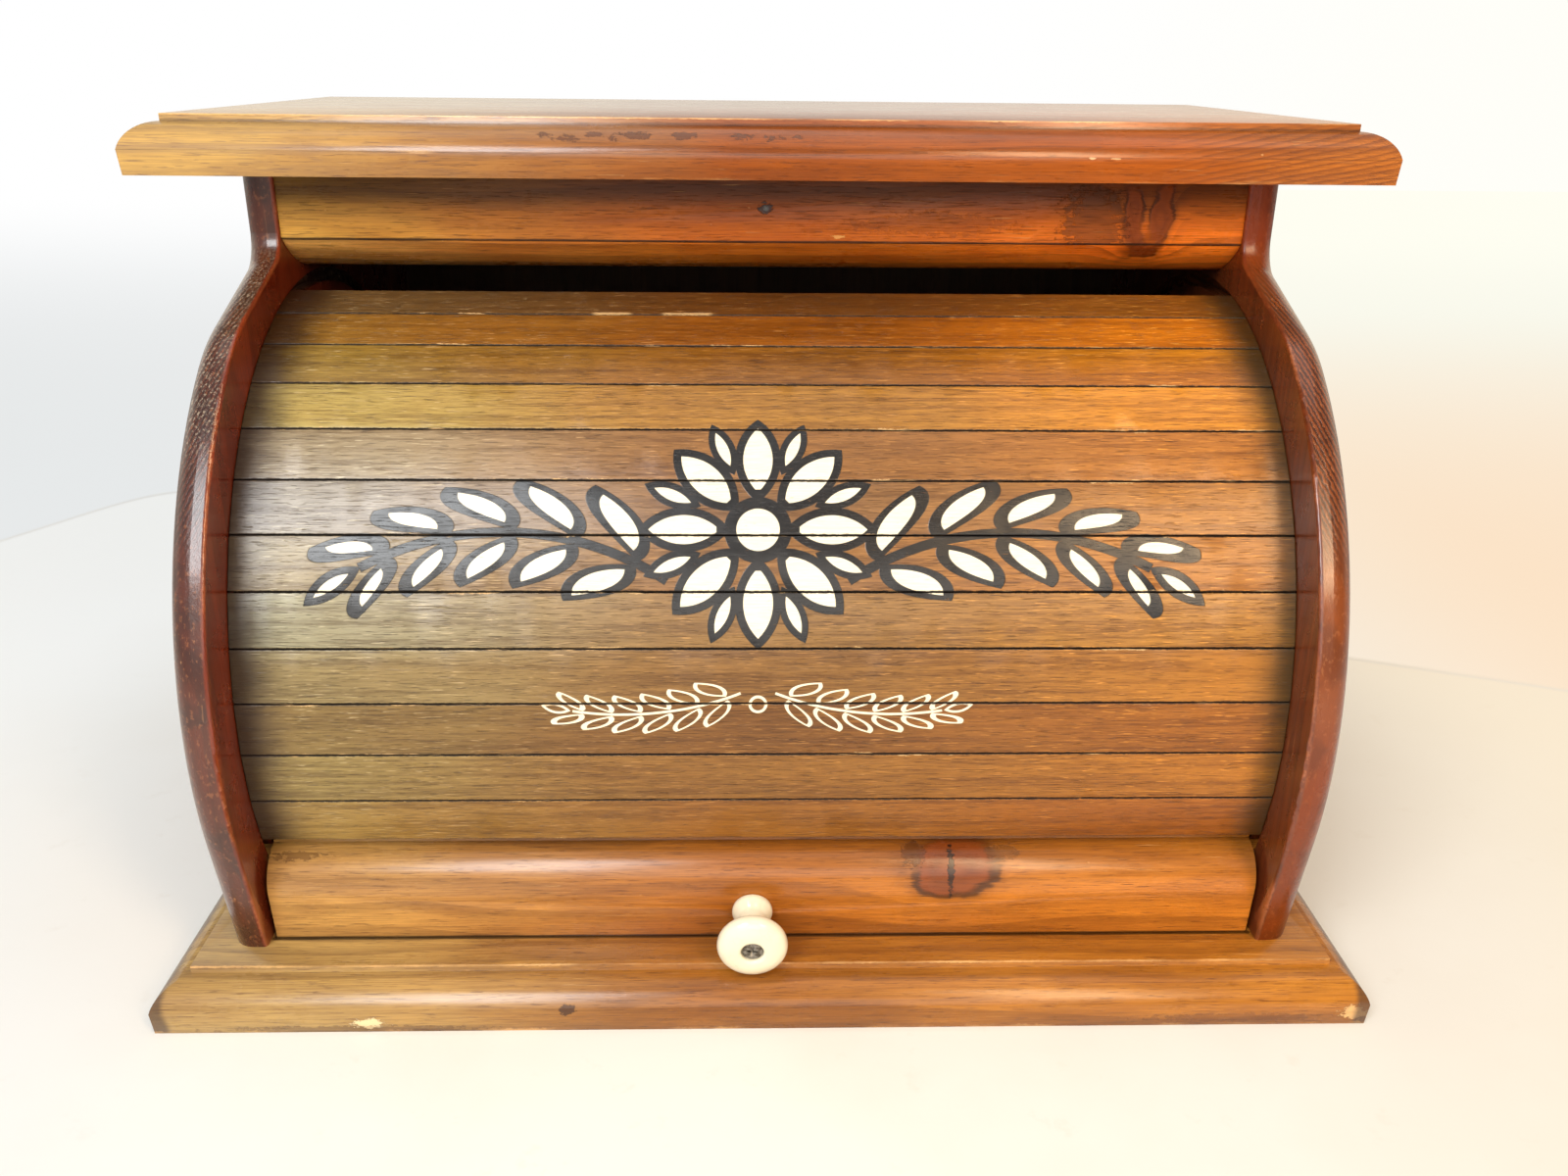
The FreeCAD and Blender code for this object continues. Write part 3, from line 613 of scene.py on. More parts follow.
@surface("slat wood and paint")
def curtain_wood(place):
    """Fine straight-grained slats, each of its own tone, with the painted garland on them, and painted
    light and shade where the light falls unevenly on the curtain.
    """
    x, y, z = split(place)
    forward, rise = AXIS_Y - y, z - AXIS_Z
    angle = calculate("ARCTAN2", rise, forward)
    radius = length_of(forward, rise)
    count = (angle * (180 / pi) - RAIL_TOP_ANGLE) / SLAT_TURN
    number = calculate("FLOOR", count)
    within = count - number
    edge = least(within, 1.0 - within) * (radians(SLAT_TURN) * TRACK_RADIUS)
    arc = angle * TRACK_RADIUS
    flat = vector(x + number * 173.0, arc, radius)

    tone = slat_tone(count)
    streak = noise(flat, (0.013, 0.4, 0.3), 4.0, 0.6)
    fibre = noise(flat, (0.1, 1.9, 1.0), 4.0, 0.7, (3, 5, 7))
    pores = between(noise(flat, (0.12, 2.6, 1.0), 2.0, 0.6, (8, 2, 4)), 0.6, 0.67)
    flecks = noise(flat, (0.13, 2.2, 1.0), 2.0, 0.6, (18, 32, 4))
    broad = noise(flat, (0.009, 0.06, 0.05), 2.0, 0.5, (21, 4, 9))
    darker = blend(1.0, tone, (168, 150, 132), "MULTIPLY")
    lighter = blend(1.0, tone, (1.4, 1.44, 1.5, 1), "MULTIPLY")
    base = over(tone, (between(streak, 0.42, 0.62) * 0.6, darker),
                (between(fibre, 0.44, 0.62) * 0.32, lighter),
                (between(fibre, 0.52, 0.34) * 0.38, darker), (pores * 0.6, (56, 34, 18)),
                (between(flecks, 0.62, 0.7) * 0.4, (214, 158, 90)),
                (between(broad, 0.5, 0.72) * 0.3, lighter))
    base = drifted(base, vector(x, arc, radius), (1.1, 1.8, 3.4), (1.7, 1.4, 0.7))
    # painted highlight: a pale, cool glare of the window light on the middle slats at the left
    base = tinted(base, band(count, 5.9, 1.9, 0.4) * between(x, 20, -120), 1.1, 1.25, 1.6)
    # painted shade: the lowest slat darker at the right, in the rail's shadow
    base = tinted(base, between(count, 1.5, 0.5) * between(x, 20, 130), 0.62, 0.55, 0.5)
    # painted light: the upper slats lighter at the right, where more light reaches them
    base = tinted(base, between(count, 8.8, 10.6) * between(x, 40, 140), 1.4, 1.7, 2.0)
    scuffs = scuffs_on(flat, 1.0)
    height = fibre * 0.6 - pores * 0.8 - scuffs["Scratches"] * 0.6

    black, cream = painted_garland(x + 3.0, arc - radians(27.0) * TRACK_RADIUS)
    thin = noise(flat, (0.25, 2.4, 1.0), 3.0, 0.7, (13, 6, 2))
    on_face = between(radius, TRACK_RADIUS - 2.0, TRACK_RADIUS - 1.2)
    kept = 1.0 - between(thin, 0.66, 0.74) * 0.8
    kept = kept * (1.0 - scuffs["Spots"] * 0.8) * on_face
    paint = most(black, cream) * kept
    cream_colour = blend(between(fibre, 0.62, 0.35) * 0.3, (244, 234, 206), (206, 186, 148))
    base = over(base, (paint, blend(cream, (24, 24, 26), cream_colour)))
    height = height * (1.0 - paint * 0.5) + paint * 0.8

    ragged = noise(flat, (0.7, 1.2, 1.0), 3.0, 0.7, (4, 4, 4)) - 0.5
    # dark lines along the slat gaps: partly dirt and partly painted shade in the gaps
    gap = between(edge - ragged * 0.9, 0.58, 0.3)
    chipped = noise(flat, (0.05, 0.2, 1.0), 3.0, 0.6, (7, 7, 1))
    chips = between(edge - ragged * 2.2, 0.75, 0.4) * between(chipped, 0.61, 0.66)
    dashes = most(band(x, -54.5, 5.0, 3.0), band(x, -28.0, 7.0, 3.0))
    chips = most(chips, dashes * band(count + ragged * 0.08, 11.05, 0.015, 0.04))
    # dark slat ends beside the sides: partly grime and partly painted shade cast by the sides, reaching
    # further in on the upper slats
    inward = between(count, 7.0, 11.5) * 6.0 - between(x, -5, 5) * 4.0
    grime_and_shade = between(abs(x) + (broad - 0.5) * 12.0 + inward, 153.0, 171.0)
    base = over(base, (gap * 0.92, (20, 13, 9)), (chips * 0.75, (214, 176, 122)),
                (grime_and_shade * 0.9, blend(between(x, -5, 5), (34, 18, 12), (50, 38, 18))))
    rough = 0.27 + (scuffs["Haze"] - 0.5) * 0.16 + fibre * 0.08
    return dict(base=base, roughness=rough + chips * 0.2 - paint * 0.04 + gap * 0.4,
                height=height, coat_roughness=0.2, gloss=0.5)


# ---- plain materials ----
def bare_pine(name, light, dark, upright=False):
    """Unfinished softwood with its grain along X, or upright."""
    @surface(name)
    def wood(place):
        if upright:
            x, y, z = split(place)
            place = vector(z, x, y)
        grain = board_grain(place, ring_width=5.0, heart_y=30.0, heart_z=-40.0,
                            wander=8.0)
        return dict(base=wood_colour(grain, light, light, dark),
                    roughness=0.6 + grain["Fibre"] * 0.15,
                    height=grain["Late Wood"] * 0.4 + grain["Fibre"] * 0.5)
    return wood


cleat_wood = bare_pine("plain pine", (196, 152, 98), (150, 104, 58))
dowel_wood = bare_pine("dowel wood", (204, 166, 112), (168, 124, 76), upright=True)


@surface("stained plywood")
def plywood(place):
    """Thin stained plywood with upright veneer grain and a few open cracks."""
    x, y, z = split(place)
    upright = vector(z, x * 0.6, y)
    grain = board_grain(upright, ring_width=9.0, heart_y=120.0, heart_z=140.0, wander=26.0)
    checks = between(noise(upright, (0.02, 1.6, 1.6), 1.0, 0.4, (9, 9, 2)), 0.7, 0.74)
    # painted shade: a dark inner face, so the inside of the box reads as in shade
    inner_face = between(y, BACK_Y - 4.5, BACK_Y - 5.5)
    base = wood_colour(grain, (122, 78, 42), (100, 62, 32), (60, 34, 18))
    return dict(base=over(base, (checks * 0.7, (52, 30, 18)), (inner_face * 0.7, (26, 16, 10))),
                roughness=0.55 + grain["Fibre"] * 0.12, relief=0.12,
                height=grain["Late Wood"] * 0.4 + grain["Fibre"] * 0.5 - checks * 2.0)


@surface("cream porcelain")
def knob_glaze(place):
    """Cream glaze with a faint web of fine cracks."""
    cracks = cells(place, (0.5, 0.5, 0.5), "DISTANCE_TO_EDGE")
    web = between(cracks, 0.02, 0.008) * between(noise(place, (0.12, 0.12, 0.12)), 0.5, 0.62)
    cloud = noise(place, (0.09, 0.09, 0.09), 3.0)
    base = blend(cloud, (240, 232, 208), (228, 217, 186))
    return dict(base=over(base, (web * 0.3, (170, 146, 104))), roughness=0.14 + cloud * 0.08,
                height=cloud * 0.5, relief=0.06, coat=0.6, coat_roughness=0.05)


def worn_steel(name, bright, tarnish):
    @surface(name)
    def steel(place):
        cloud = noise(place, (0.6, 0.6, 0.6), 4.0, 0.6)
        return dict(base=blend(between(cloud, 0.42, 0.62), bright, tarnish),
                    metal=between(cloud, 0.75, 0.4) * 0.35 + 0.6,
                    roughness=0.32 + cloud * 0.25, relief=0.04,
                    height=noise(place, (3.0, 3.0, 3.0), 2.0, 0.6))
    return steel


screw_steel = worn_steel("dull screw steel", (150, 146, 138), (84, 76, 66))
pin_steel = worn_steel("dark pin steel", (92, 90, 90), (56, 50, 48))
nail_steel = worn_steel("nail steel", (132, 128, 122), (92, 66, 48))


@surface("cotton canvas")
def canvas(place):
    """Plain weave cloth; its outer face is darkened, partly by glue and stain and partly as painted
    shade seen through the gaps between the slats.
    """
    x, y, z = split(place)
    threads = 2 * pi / 0.9           # one thread every 0.9 mm
    angle = calculate("ARCTAN2", z - AXIS_Z, AXIS_Y - y)
    radius = length_of(AXIS_Y - y, z - AXIS_Z)
    weft = calculate("SINE", x * threads)
    warp = calculate("SINE", angle * (126.0 * threads))
    weave = abs(weft) * 0.5 + abs(warp) * 0.5
    # the outer face's dark tone is partly glue and stain and partly painted shade in the slat gaps
    base = over(blend(weave, (150, 132, 100), (196, 180, 146)),
                (noise(place, (0.4, 0.4, 0.4), 3.0) * 0.4, (164, 140, 100)),
                (between(radius, CANVAS_RADIUS - 0.5, CANVAS_RADIUS - 0.2), (30, 20, 13)))
    return dict(base=base, roughness=0.9, height=weave * weft * warp + weave, relief=0.2)


def pale_table():
    """Pale table top, and the white wall that is seen past its far edge, warmed on the right by painted
    warm light.
    """
    material, shader, place = new_material("pale table top")
    x, y, _ = split(place)
    cloud = noise(place, (0.006, 0.006, 0.006), 4.0, 0.6)
    specks = noise(place, (0.05, 0.05, 0.05), 4.0, 0.7, (4, 1, 2))
    base = over(blend(between(cloud, 0.4, 0.65) * 0.5, (234, 232, 226), (228, 223, 213)),
                (between(specks, 0.6, 0.72) * 0.2, (214, 205, 190)))
    dress(shader, base, 0.6, cloud * 0.5 + specks * 0.5, relief=0.3, gloss=0.2)
    # how far past the table's far and left edges, each from a point on it and a direction
    far_edge = (x + 440.0) * 0.379 + (y - 458.0) * 0.9255
    left_edge = (x + 500.0) * -0.88 + (y - 346.0) * 0.47
    past = between(calculate("SMOOTH_MAX", far_edge, left_edge, 90.0), -3.0, 6.0)
    # warmer on the right, as painted warm light on the table and the wall
    floor = blend(between(x, -100, 400), (246, 248, 247), (255, 237, 208))
    wall = over(blend(between(y, 400, 2600), (233, 236, 237), (1, 1, 1, 1)),
                (between(x, 0, 500) * 0.9, (255, 254, 240)),
                (between(x, 100, 520) * between(y, 1300, 200) * 0.9, (255, 226, 194)))
    # painted light seen by the camera, which lifts the table's shadow away from the box
    painted_shadow_lift = between(length_of(x, y), 150, 430) * 0.78
    solid = 0.92 + between(y, 800, 2000) * 0.08
    tree = material.node_tree
    camera_ray = source(tree, "ShaderNodeLightPath", "Is Camera Ray")
    glow = through("ShaderNodeEmission", {"Strength": 1.0, "Color": blend(past, floor, wall)})
    shown = through("ShaderNodeMixShader",
                    {0: camera_ray * most(past * solid, painted_shadow_lift * (1.0 - past)),
                     1: Flow(shader.outputs[0]), 2: glow})
    join(shown, tree.nodes["Material Output"].inputs["Surface"])
    return material


# ---- finished pieces ----
def linked(name, data):
    """New object at the origin, in the scene."""
    made = bpy.data.objects.new(name, data)
    scene.collection.objects.link(made)
    return made


def dip(mesh, material):
    mesh.materials.clear()
    mesh.materials.append(material)


def new_piece(name, mesh, body, replaced, slot):
    """Piece that rides on a body and stands for CAD nodes."""
    piece = linked(name, mesh)
    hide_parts(*replaced)
    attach(piece, body)
    return piece


def mesh_from(name, build):
    work = bmesh.new()
    build(work)
    mesh = bpy.data.meshes.new(name)
    work.to_mesh(mesh)
    work.free()
    return mesh


def smooth_by_angle(mesh, sharp_degrees):
    mesh.shade_smooth()
    mesh.set_sharp_from_angle(angle=radians(sharp_degrees))


def built_piece(name, build, sharp_degrees, material, *where):
    mesh = mesh_from(name, build)
    smooth_by_angle(mesh, sharp_degrees)
    dip(mesh, material)
    return new_piece(name, mesh, *where)


def settle(holder, name, sharp_degrees):
    """Plain, smoothed mesh of an object with its modifiers, which go with the object."""
    bpy.context.view_layer.update()
    evaluated = holder.evaluated_get(bpy.context.evaluated_depsgraph_get())
    mesh = bpy.data.meshes.new_from_object(evaluated)
    bpy.data.objects.remove(holder)
    mesh.name = name
    smooth_by_angle(mesh, sharp_degrees)
    return mesh


def eased_copy(node, body, material, width):
    """The node's own shape with its sharp arrises eased, as sanding leaves them."""
    name = node + "_eased"
    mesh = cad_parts[node].data.copy()
    work = bmesh.new()
    work.from_mesh(mesh)
    bmesh.ops.remove_doubles(work, verts=work.verts, dist=0.002 * MM)
    bmesh.ops.dissolve_limit(work, angle_limit=radians(0.6), verts=work.verts, edges=work.edges)
    work.to_mesh(mesh)
    work.free()
    holder = linked(name + "_work", mesh)
    bevel = holder.modifiers.new("eased arrises", "BEVEL")
    bevel.width = width * MM
    bevel.segments = 2
    bevel.limit_method = "ANGLE"
    bevel.angle_limit = radians(28.0)
    eased = settle(holder, name, 40.0)
    dip(eased, material)
    new_piece(name, eased, body, [node], "pine_case")


def skin(work, rings):
    """Faces from each ring of vertices to the next."""
    for first, second in zip(rings, rings[1:]):
        for i in range(len(first)):
            j = (i + 1) % len(first)
            work.faces.new((first[i], second[i], second[j], first[j]))


def turned_rings(work, outline, around):
    """Rings round Z from (radius, height) points, in millimetres."""
    return [[work.verts.new((radius * cos(2 * pi * i / around) * MM,
                             radius * sin(2 * pi * i / around) * MM, height * MM))
             for i in range(around)] for radius, height in outline]


def geometry_tree(name, inputs, build):
    """Geometry node tree with named inputs, the shape it repeats among them. The real
    geometry that build puts out is given the material."""
    tree = bpy.data.node_groups.new(name, "GeometryNodeTree")
    for title, kind in [("Geometry", "Geometry"), ("Shape", "Object")] + inputs + [
            ("Material", "Material")]:
        tree.interface.new_socket(title, in_out="INPUT", socket_type="NodeSocket" + kind)
    tree.interface.new_socket("Geometry", in_out="OUTPUT", socket_type="NodeSocketGeometry")
    given = named_flows(tree.nodes.new("NodeGroupInput"))
    painted = through("GeometryNodeSetMaterial",
                      {"Geometry": build(tree, given), "Material": given["Material"]})
    join(painted, tree.nodes.new("NodeGroupOutput").inputs[0])
    return tree


def attribute(tree, name, kind):
    return source(tree, "GeometryNodeInputNamedAttribute", 0, {"Name": name}, data_type=kind)


def real_copies(points, shape, rotation):
    """A shape at each point, as real geometry."""
    copies = through("GeometryNodeInstanceOnPoints",
                     {"Points": points, "Rotation": rotation,
                      "Instance": through("GeometryNodeObjectInfo", {"Object": shape},
                                          "Geometry")})
    return through("GeometryNodeRealizeInstances", {0: copies})


def grow(name, points, tree, build, values, sharp_degrees):
    """Plain mesh that a geometry node tree makes of points and of the shape that build makes."""
    shape = linked(name + "_shape", mesh_from(name + "_shape", build))
    holder = linked(name + "_work", points)
    modifier = holder.modifiers.new(name, "NODES")
    modifier.node_group = tree
    values = {"Shape": shape, **values}
    for item in tree.interface.items_tree:
        if item.in_out == "INPUT" and item.name in values:
            modifier[item.identifier] = values[item.name]
    mesh = settle(holder, name, sharp_degrees)
    bpy.data.objects.remove(shape)
    return mesh


# ---- slats ----
def build_slat(work):
    """One slat, level at the middle of its arc: X along it, Z outwards, Y up the curtain."""
    stations = 140
    corner = 0.5
    half_turn = radians(SLAT_TURN / 2)
    outer = TRACK_RADIUS * cos(half_turn)
    inner = outer - SLAT_THICKNESS * cos(half_turn)
    half_front = TRACK_RADIUS * sin(half_turn) - SLAT_GAP / 2
    half_back = CANVAS_RADIUS * sin(half_turn) - SLAT_GAP / 2
    lean = (half_front - half_back) / SLAT_THICKNESS
    # (across, out, how far the arris wears) round the section
    rounding = [(half_front - lean * corner, outer - corner, 0.4),
                (half_front - corner * 0.12, outer - corner * 0.38, 1.0),
                (half_front - corner * 0.38, outer - corner * 0.12, 1.0),
                (half_front - corner, outer, 0.5)]
    profile = rounding + [(-across, out, weight) for across, out, weight in rounding[::-1]]
    profile += [(-half_back, inner, 0.0), (half_back, inner, 0.0)]
    arris = work.verts.layers.float.new("arris")
    rings = []
    for i in range(stations + 1):
        x = -SLAT_HALF_LENGTH + 2 * SLAT_HALF_LENGTH * i / stations
        rings.append([work.verts.new((x * MM, across * MM, out * MM)) for across, out, _ in profile])
        for vertex, (_, _, weight) in zip(rings[-1], profile):
            vertex[arris] = weight
    skin(work, rings)
    work.faces.new(rings[0][::-1])
    work.faces.new(rings[-1])
    bmesh.ops.recalc_face_normals(work, faces=work.faces)
    tongue_top = outer - TONGUE_SETBACK
    for low, high in ((SLAT_HALF_LENGTH, TONGUE_REACH), (-TONGUE_REACH, -SLAT_HALF_LENGTH)):
        for vertex in bmesh.ops.create_cube(work, size=1.0)["verts"]:
            vertex.co = Vector((
                (low if vertex.co.x < 0 else high) * MM,
                vertex.co.y * 2 * (half_back - 0.1) * MM,
                (tongue_top - (0 if vertex.co.z > 0 else TONGUE_THICKNESS)) * MM))


def set_slats(tree, given):
    """Slats set round the curtain's axis, with chipped and uneven arrises."""
    points = through("GeometryNodeMeshLine", {"Count": given["Count"], "Offset": (0, 0, 0)})
    index = source(tree, "GeometryNodeInputIndex")
    angle = given["First Angle"] + (index + 0.5) * given["Pitch"]
    slats = real_copies(points, given["Shape"], vector(pi / 2 - angle, 0.0, 0.0))
    where = source(tree, "GeometryNodeInputPosition")
    drawn_out = through("ShaderNodeVectorMath", {0: where, 1: (160.0, 1300.0, 1300.0)},
                        operation="MULTIPLY")
    rough = through("ShaderNodeTexNoise", {"Vector": drawn_out, "W": given["Seed"],
                                           "Scale": 1.0, "Detail": 2.0}, noise_dimensions="4D")
    bite = most(rough - 0.55, 0.0) * given["Wear"] * attribute(tree, "arris", "FLOAT")
    _, y, z = split(where)
    outwards = through("ShaderNodeVectorMath", {0: vector(0.0, y, z)}, operation="NORMALIZE")
    shift = through("ShaderNodeVectorMath", {0: outwards, "Scale": -bite}, operation="SCALE")
    worn = through("GeometryNodeSetPosition", {"Geometry": slats, "Offset": shift})
    return through("GeometryNodeTransform",
                   {"Geometry": worn, "Translation": (0, AXIS_Y * MM, AXIS_Z * MM)})


slat_tree = geometry_tree("curtain slats", [
    ("Count", "Int"), ("First Angle", "Float"), ("Pitch", "Float"), ("Wear", "Float"),
    ("Seed", "Float")], set_slats)
slats_mesh = grow("curtain_slats", bpy.data.meshes.new("slat_start"), slat_tree, build_slat, {
    "Count": SLAT_COUNT, "First Angle": radians(RAIL_TOP_ANGLE),
    "Pitch": radians(SLAT_TURN), "Wear": 1.6 * MM, "Seed": 4.0, "Material": curtain_wood},
    50.0)
new_piece("curtain_slats", slats_mesh, "curtain",
          [f"slat_{i + 1:02d}" for i in range(SLAT_COUNT)], "slat_wood")


# ---- fasteners ----
def build_screw_head(work):
    """Countersunk cross-slot head, its face at Z 0 and its shank going down."""
    radius, shank, depth, tail = 3.45, 1.7, 2.0, 6.0
    arm, half_slot, slot_depth, floor_share = 2.05, 0.42, 1.1, 0.55
    rings = turned_rings(work, [(radius - 0.12, 0.0), (radius, -0.15), (shank, -depth),
                                (shank, -depth - tail)], 24)
    skin(work, rings)
    work.faces.new(rings[-1][::-1])
    quarter = [(arm, -half_slot), (arm, half_slot), (half_slot, half_slot)]
    cross = []
    for _ in range(4):
        cross += quarter
        quarter = [(-y, x) for x, y in quarter]
    lip = [work.verts.new((x * MM, y * MM, 0)) for x, y in cross]
    floor = [work.verts.new((x * floor_share * MM, y * floor_share * MM, -slot_depth * MM))
             for x, y in cross]
    skin(work, [floor, lip])
    work.faces.new(floor)
    edges = [work.edges.get((loop[i - 1], loop[i])) for loop in (rings[0], lip)
             for i in range(len(loop))]
    bmesh.ops.triangle_fill(work, edges=edges, use_beauty=True)
    bmesh.ops.recalc_face_normals(work, faces=work.faces)


def build_nail_head(work):
    radius, shank, tail = 1.75, 0.8, 5.0
    rings = turned_rings(work, [(0.9, 0.0), (radius - 0.25, -0.03), (radius, -0.28),
                                (shank, -0.8), (shank, -tail)], 16)
    skin(work, rings)
    work.faces.new(rings[0])
    work.faces.new(rings[-1][::-1])
    bmesh.ops.recalc_face_normals(work, faces=work.faces)


def set_fasteners(tree, given):
    """One fastener at each point, along the point's own aim and turned at random about it."""
    facing = through("FunctionNodeAlignRotationToVector",
                     {"Vector": attribute(tree, "aim", "FLOAT_VECTOR")}, axis="Z")
    spin = through("FunctionNodeRandomValue", {2: -pi, 3: pi, "Seed": given["Seed"]},
                   1, data_type="FLOAT")
    twist = through("FunctionNodeAxisAngleToRotation", {"Axis": (0, 0, 1), "Angle": spin})
    turned = through("FunctionNodeRotateRotation", {"Rotation": facing, "Rotate By": twist},
                     rotation_space="LOCAL")
    return real_copies(given["Geometry"], given["Shape"], turned)


def places_mesh(name, places):
    """Points with an aim each, from (place, aim) pairs in millimetres."""
    mesh = bpy.data.meshes.new(name)
    mesh.from_pydata([Vector(place) * MM for place, _ in places], [], [])
    aims = mesh.attributes.new("aim", "FLOAT_VECTOR", "POINT")
    for i, (_, aim) in enumerate(places):
        aims.data[i].vector = aim
    return mesh


SIDE_X = (INNER_X + OUTER_X) / 2
CLEAT_ROWS = (4.9, 135.3)
CLEAT_FOOT = TOP_UNDERSIDE - 19.0
SUNK = 0.05
DOWN, BACKWARDS = (0, 0, -1), (0, 1, 0)
case_screw_places = [((side * SIDE_X, y, SUNK), DOWN) for side in (-1, 1)
                     for y in (AXIS_Y - TRACK_RADIUS / 2, AXIS_Y + 12.0, BACK_Y - 40.0)]
case_screw_places += [((x, y, CLEAT_FOOT + SUNK), DOWN) for y in CLEAT_ROWS
                      for x in (-INNER_X + 45.0, 0.0, INNER_X - 45.0)]
nail_places = [((side * (INNER_X + 3.0), BACK_Y - SUNK, z), BACKWARDS) for side in (-1, 1)
               for z in (BASE_TOP + 15.0, BASE_TOP + 55.0, TOP_UNDERSIDE - 105.0,
                         TOP_UNDERSIDE - 60.0, TOP_UNDERSIDE - 20.0)]
nail_places += [((x, BACK_Y - SUNK, TOP_UNDERSIDE - 9.5), BACKWARDS)
                for x in (-INNER_X + 75.0, -32.0, 32.0, INNER_X - 75.0)]
KNOB_X, KNOB_UP_RAIL, KNOB_PROJECTION = -4.8, 12.0, 22.0
knob_normal = Vector((0, -cos(RAIL_LEAN), -sin(RAIL_LEAN)))
knob_seat = Vector((KNOB_X, RAIL_FACE_Y, RAIL_FOOT)) + KNOB_UP_RAIL * Vector(
    (0, -sin(RAIL_LEAN), cos(RAIL_LEAN)))
knob_screw_place = knob_seat + knob_normal * (KNOB_PROJECTION - 1.2)

fastener_tree = geometry_tree("fasteners", [("Seed", "Int")], set_fasteners)
for name, places, build, seed, material, body, replaced in (
        ("case_screws", case_screw_places, build_screw_head, 3, screw_steel, "case",
         ("base_screws", "cleat_screws")),
        ("panel_nails", nail_places, build_nail_head, 5, nail_steel, "case", ("back_nails",)),
        ("knob_cross_screw", [(knob_screw_place, knob_normal)], build_screw_head, 8,
         screw_steel, "curtain", ("knob_screw",))):
    mesh = grow(name, places_mesh(name + "_places", places), fastener_tree, build,
                {"Seed": seed, "Material": material}, 40.0)
    new_piece(name, mesh, body, replaced, "steel")


# ---- porcelain knob ----
def smooth_profile(points):
    """Catmull-Rom line through (radius, distance) points."""
    steps = 6
    result = []
    padded = points[:1] + points + points[-1:]
    for i in range(len(points) - 1):
        for k in range(steps):
            t = k / steps
            result.append(tuple(
                0.5 * (2 * b + (c - a) * t + (2 * a - 5 * b + 4 * c - d) * t * t
                       + (3 * b - a - 3 * c + d) * t ** 3)
                for a, b, c, d in zip(*padded[i:i + 4])))
    return result + points[-1:]


def build_knob(work):
    """Flange on the rail, waist and dished head, with the screw's bore through it."""
    bore, end = 1.75, KNOB_PROJECTION
    outline = smooth_profile([(bore, 0.02), (4.5, 0.02), (6.5, 0.1), (6.98, 0.9), (6.9, 2.3),
                              (6.0, 3.8), (4.9, 5.6), (4.65, 8.4), (5.1, 11.4), (7.2, 13.0),
                              (9.9, 14.4), (11.6, 16.2), (11.98, 18.0), (11.3, 19.8),
                              (9.4, 21.1), (7.2, 21.75), (5.6, 21.9), (4.6, 21.85), (3.9, 21.4),
                              (3.75, 20.6), (3.7, end - 1.9)])
    rings = turned_rings(work, outline + [(bore, end - 3.6)], 72)
    skin(work, rings + rings[:1])
    bmesh.ops.recalc_face_normals(work, faces=work.faces)
    facing = Vector((0, 0, 1)).rotation_difference(knob_normal).to_matrix().to_4x4()
    work.transform(Matrix.Translation(knob_seat * MM) @ facing)


built_piece("porcelain_knob", build_knob, 50.0, knob_glaze, "curtain", ["knob"], "porcelain")


# ---- cloth behind the slats ----
def build_canvas(work):
    """Cloth from the lift rail to the last slat, dipping at each gap between slats."""
    turns, across = 12 * SLAT_COUNT, 60
    front, back, end_margin = 0.02, 0.52, 0.15
    rings = []
    for i in range(turns + 1):
        t = i / turns
        angle = radians(RAIL_TOP_ANGLE + end_margin + (SLAT_TURN * SLAT_COUNT - 2 * end_margin) * t)
        from_middle = SLAT_TURN * ((t * SLAT_COUNT) % 1.0 - 0.5)
        flat = cos(radians(SLAT_TURN / 2)) / cos(radians(from_middle))
        row = []
        for j in range(across + 1):
            s = 2 * j / across - 1
            fray = 0.35 * sin(i * 1.7 + (3 if s > 0 else 0)) * abs(s) ** 12
            row.append((CANVAS_HALF - 0.6 + fray) * s)
        section = [(x, CANVAS_RADIUS * flat - front) for x in row]
        section += [(x, CANVAS_RADIUS * flat - back) for x in row[::-1]]
        rings.append([work.verts.new((x * MM, (AXIS_Y - radius * cos(angle)) * MM,
                                      (AXIS_Z + radius * sin(angle)) * MM)) for x, radius in section])
    skin(work, rings)
    for ring in (rings[0], rings[-1]):
        for j in range(across):
            work.faces.new((ring[j], ring[-1 - j], ring[-2 - j], ring[j + 1]))
    bmesh.ops.recalc_face_normals(work, faces=work.faces)


cloth = built_piece("canvas_cloth", build_canvas, 60.0, canvas, "curtain", ["canvas_backing"], "canvas")

# ---- boards, sides and rail ----
eased_copy("top_board", "case", top_pine, 0.45)
eased_copy("base_board", "case", base_pine, 0.45)
eased_copy("valance_board", "case", valance_pine, 0.3)
eased_copy("valance_strip", "case", strip_pine, 0.4)
eased_copy("lift_rail", "curtain", rail_pine, 0.5)

for node, material in (("left_side", side_wood), ("right_side", side_wood),
                       ("back_panel", plywood), ("front_cleat", cleat_wood),
                       ("rear_cleat", cleat_wood), ("top_dowels", dowel_wood),
                       ("valance_pin", pin_steel)):
    dip(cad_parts[node].data, material)

# ---- table, light and camera ----
table = linked("table_top", mesh_from("table_top", lambda work: bmesh.ops.create_grid(
    work, x_segments=1, y_segments=1, size=3.0)))
dip(table.data, pale_table())


def area_light(name, place, target, width, height, power, tint):
    data = bpy.data.lights.new(name, "AREA")
    data.shape, data.size, data.size_y = "RECTANGLE", width, height
    data.energy, data.color = power, tint
    lamp = linked(name, data)
    lamp.location = place
    lamp.rotation_euler = (Vector(target) - Vector(place)).to_track_quat("-Z", "Y").to_euler()


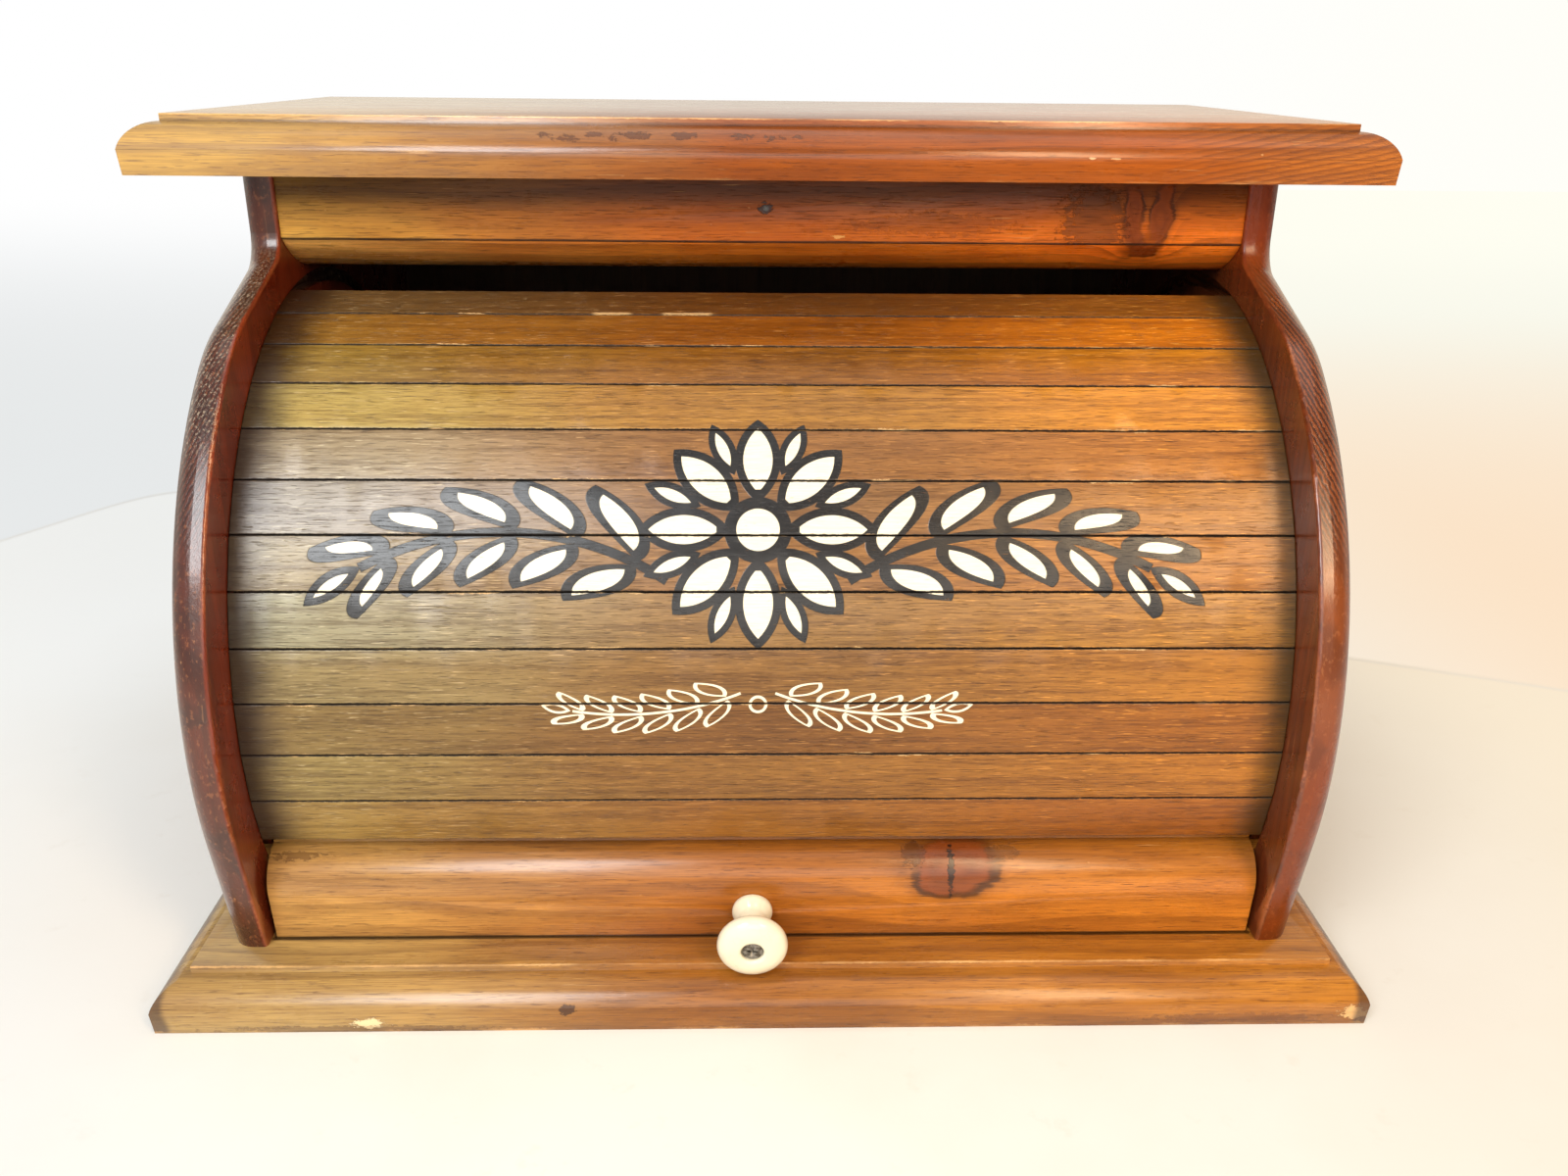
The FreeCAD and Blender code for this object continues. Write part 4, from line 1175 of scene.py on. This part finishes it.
area_light("window light", (-0.5, -0.95, 0.93), (0, 0, 0.14), 0.42, 0.7, 13.0, (0.96, 0.985, 1.0))
area_light("warm lamp", (0.54, -0.95, 0.87), (0, 0, 0.14), 0.2, 0.75, 8.5, (1.0, 0.72, 0.44))
area_light("front light", (0.0, -1.55, 0.6), (0, 0, 0.16), 1.5, 0.7, 7.8, (1.0, 0.94, 0.86))
area_light("ceiling light", (0.1, 0.1, 1.7), (0, 0, 0), 1.8, 1.4, 8.5, (1.0, 0.97, 0.92))


def white_room():
    """White surroundings, a dimmer room in front for reflections, and soft ambient light."""
    world = bpy.data.worlds.new("white room")
    world.use_nodes = True
    tree = world.node_tree
    tree.nodes.clear()
    path = named_flows(tree.nodes.new("ShaderNodeLightPath"))
    mirrored = most(path["Is Glossy Ray"], path["Is Transmission Ray"])
    seen = most(path["Is Camera Ray"], mirrored)
    x, y, z = split(source(tree, "ShaderNodeTexCoord", "Generated"))
    daylight = blend(mirrored, (255, 253, 238), (255, 232, 200))
    wall = blend(between(x, 0.1, 0.6) * 0.5, (1, 1, 1, 1), daylight)
    wall = over(wall, (mirrored * 0.8, blend(1.0, wall, (255, 245, 226), "MULTIPLY")),
                (between(z, 0.3, 0.55), (140, 136, 130)))
    in_front = blend(between(x, -0.5, 0.1), (196, 202, 206), (112, 94, 78))
    wall = over(wall, (mirrored * between(y, 0.1, -0.3), in_front))
    ambient = source(tree, "ShaderNodeBackground", 0, {"Color": (1.0, 0.98, 0.95, 1), "Strength": 0.26})
    shown = through("ShaderNodeBackground", {"Color": wall, "Strength": 1.0})
    mix = through("ShaderNodeMixShader", {0: seen, 1: ambient, 2: shown})
    join(mix, tree.nodes.new("ShaderNodeOutputWorld").inputs[0])
    return world


scene.world = white_room()

FRAME_PIXELS, FOCAL_PIXELS = 1600, 1342.6
CAMERA_PLACE = Vector((-5.54, -508.79, 306.25)) * MM
YAW, PITCH, ROLL = -0.0277, 0.3837, 0.0105
camera_data = bpy.data.cameras.new("camera")
camera_data.sensor_width = 36.0
camera_data.lens = FOCAL_PIXELS / FRAME_PIXELS * camera_data.sensor_width
camera = linked("camera", camera_data)
camera.matrix_world = (Matrix.Translation(CAMERA_PLACE) @ Matrix.Rotation(YAW, 4, "Z")
                       @ Matrix.Rotation(pi / 2 - PITCH, 4, "X")
                       @ Matrix.Rotation(ROLL, 4, "Z"))
scene.camera = camera

scene.view_settings.view_transform = "Standard"
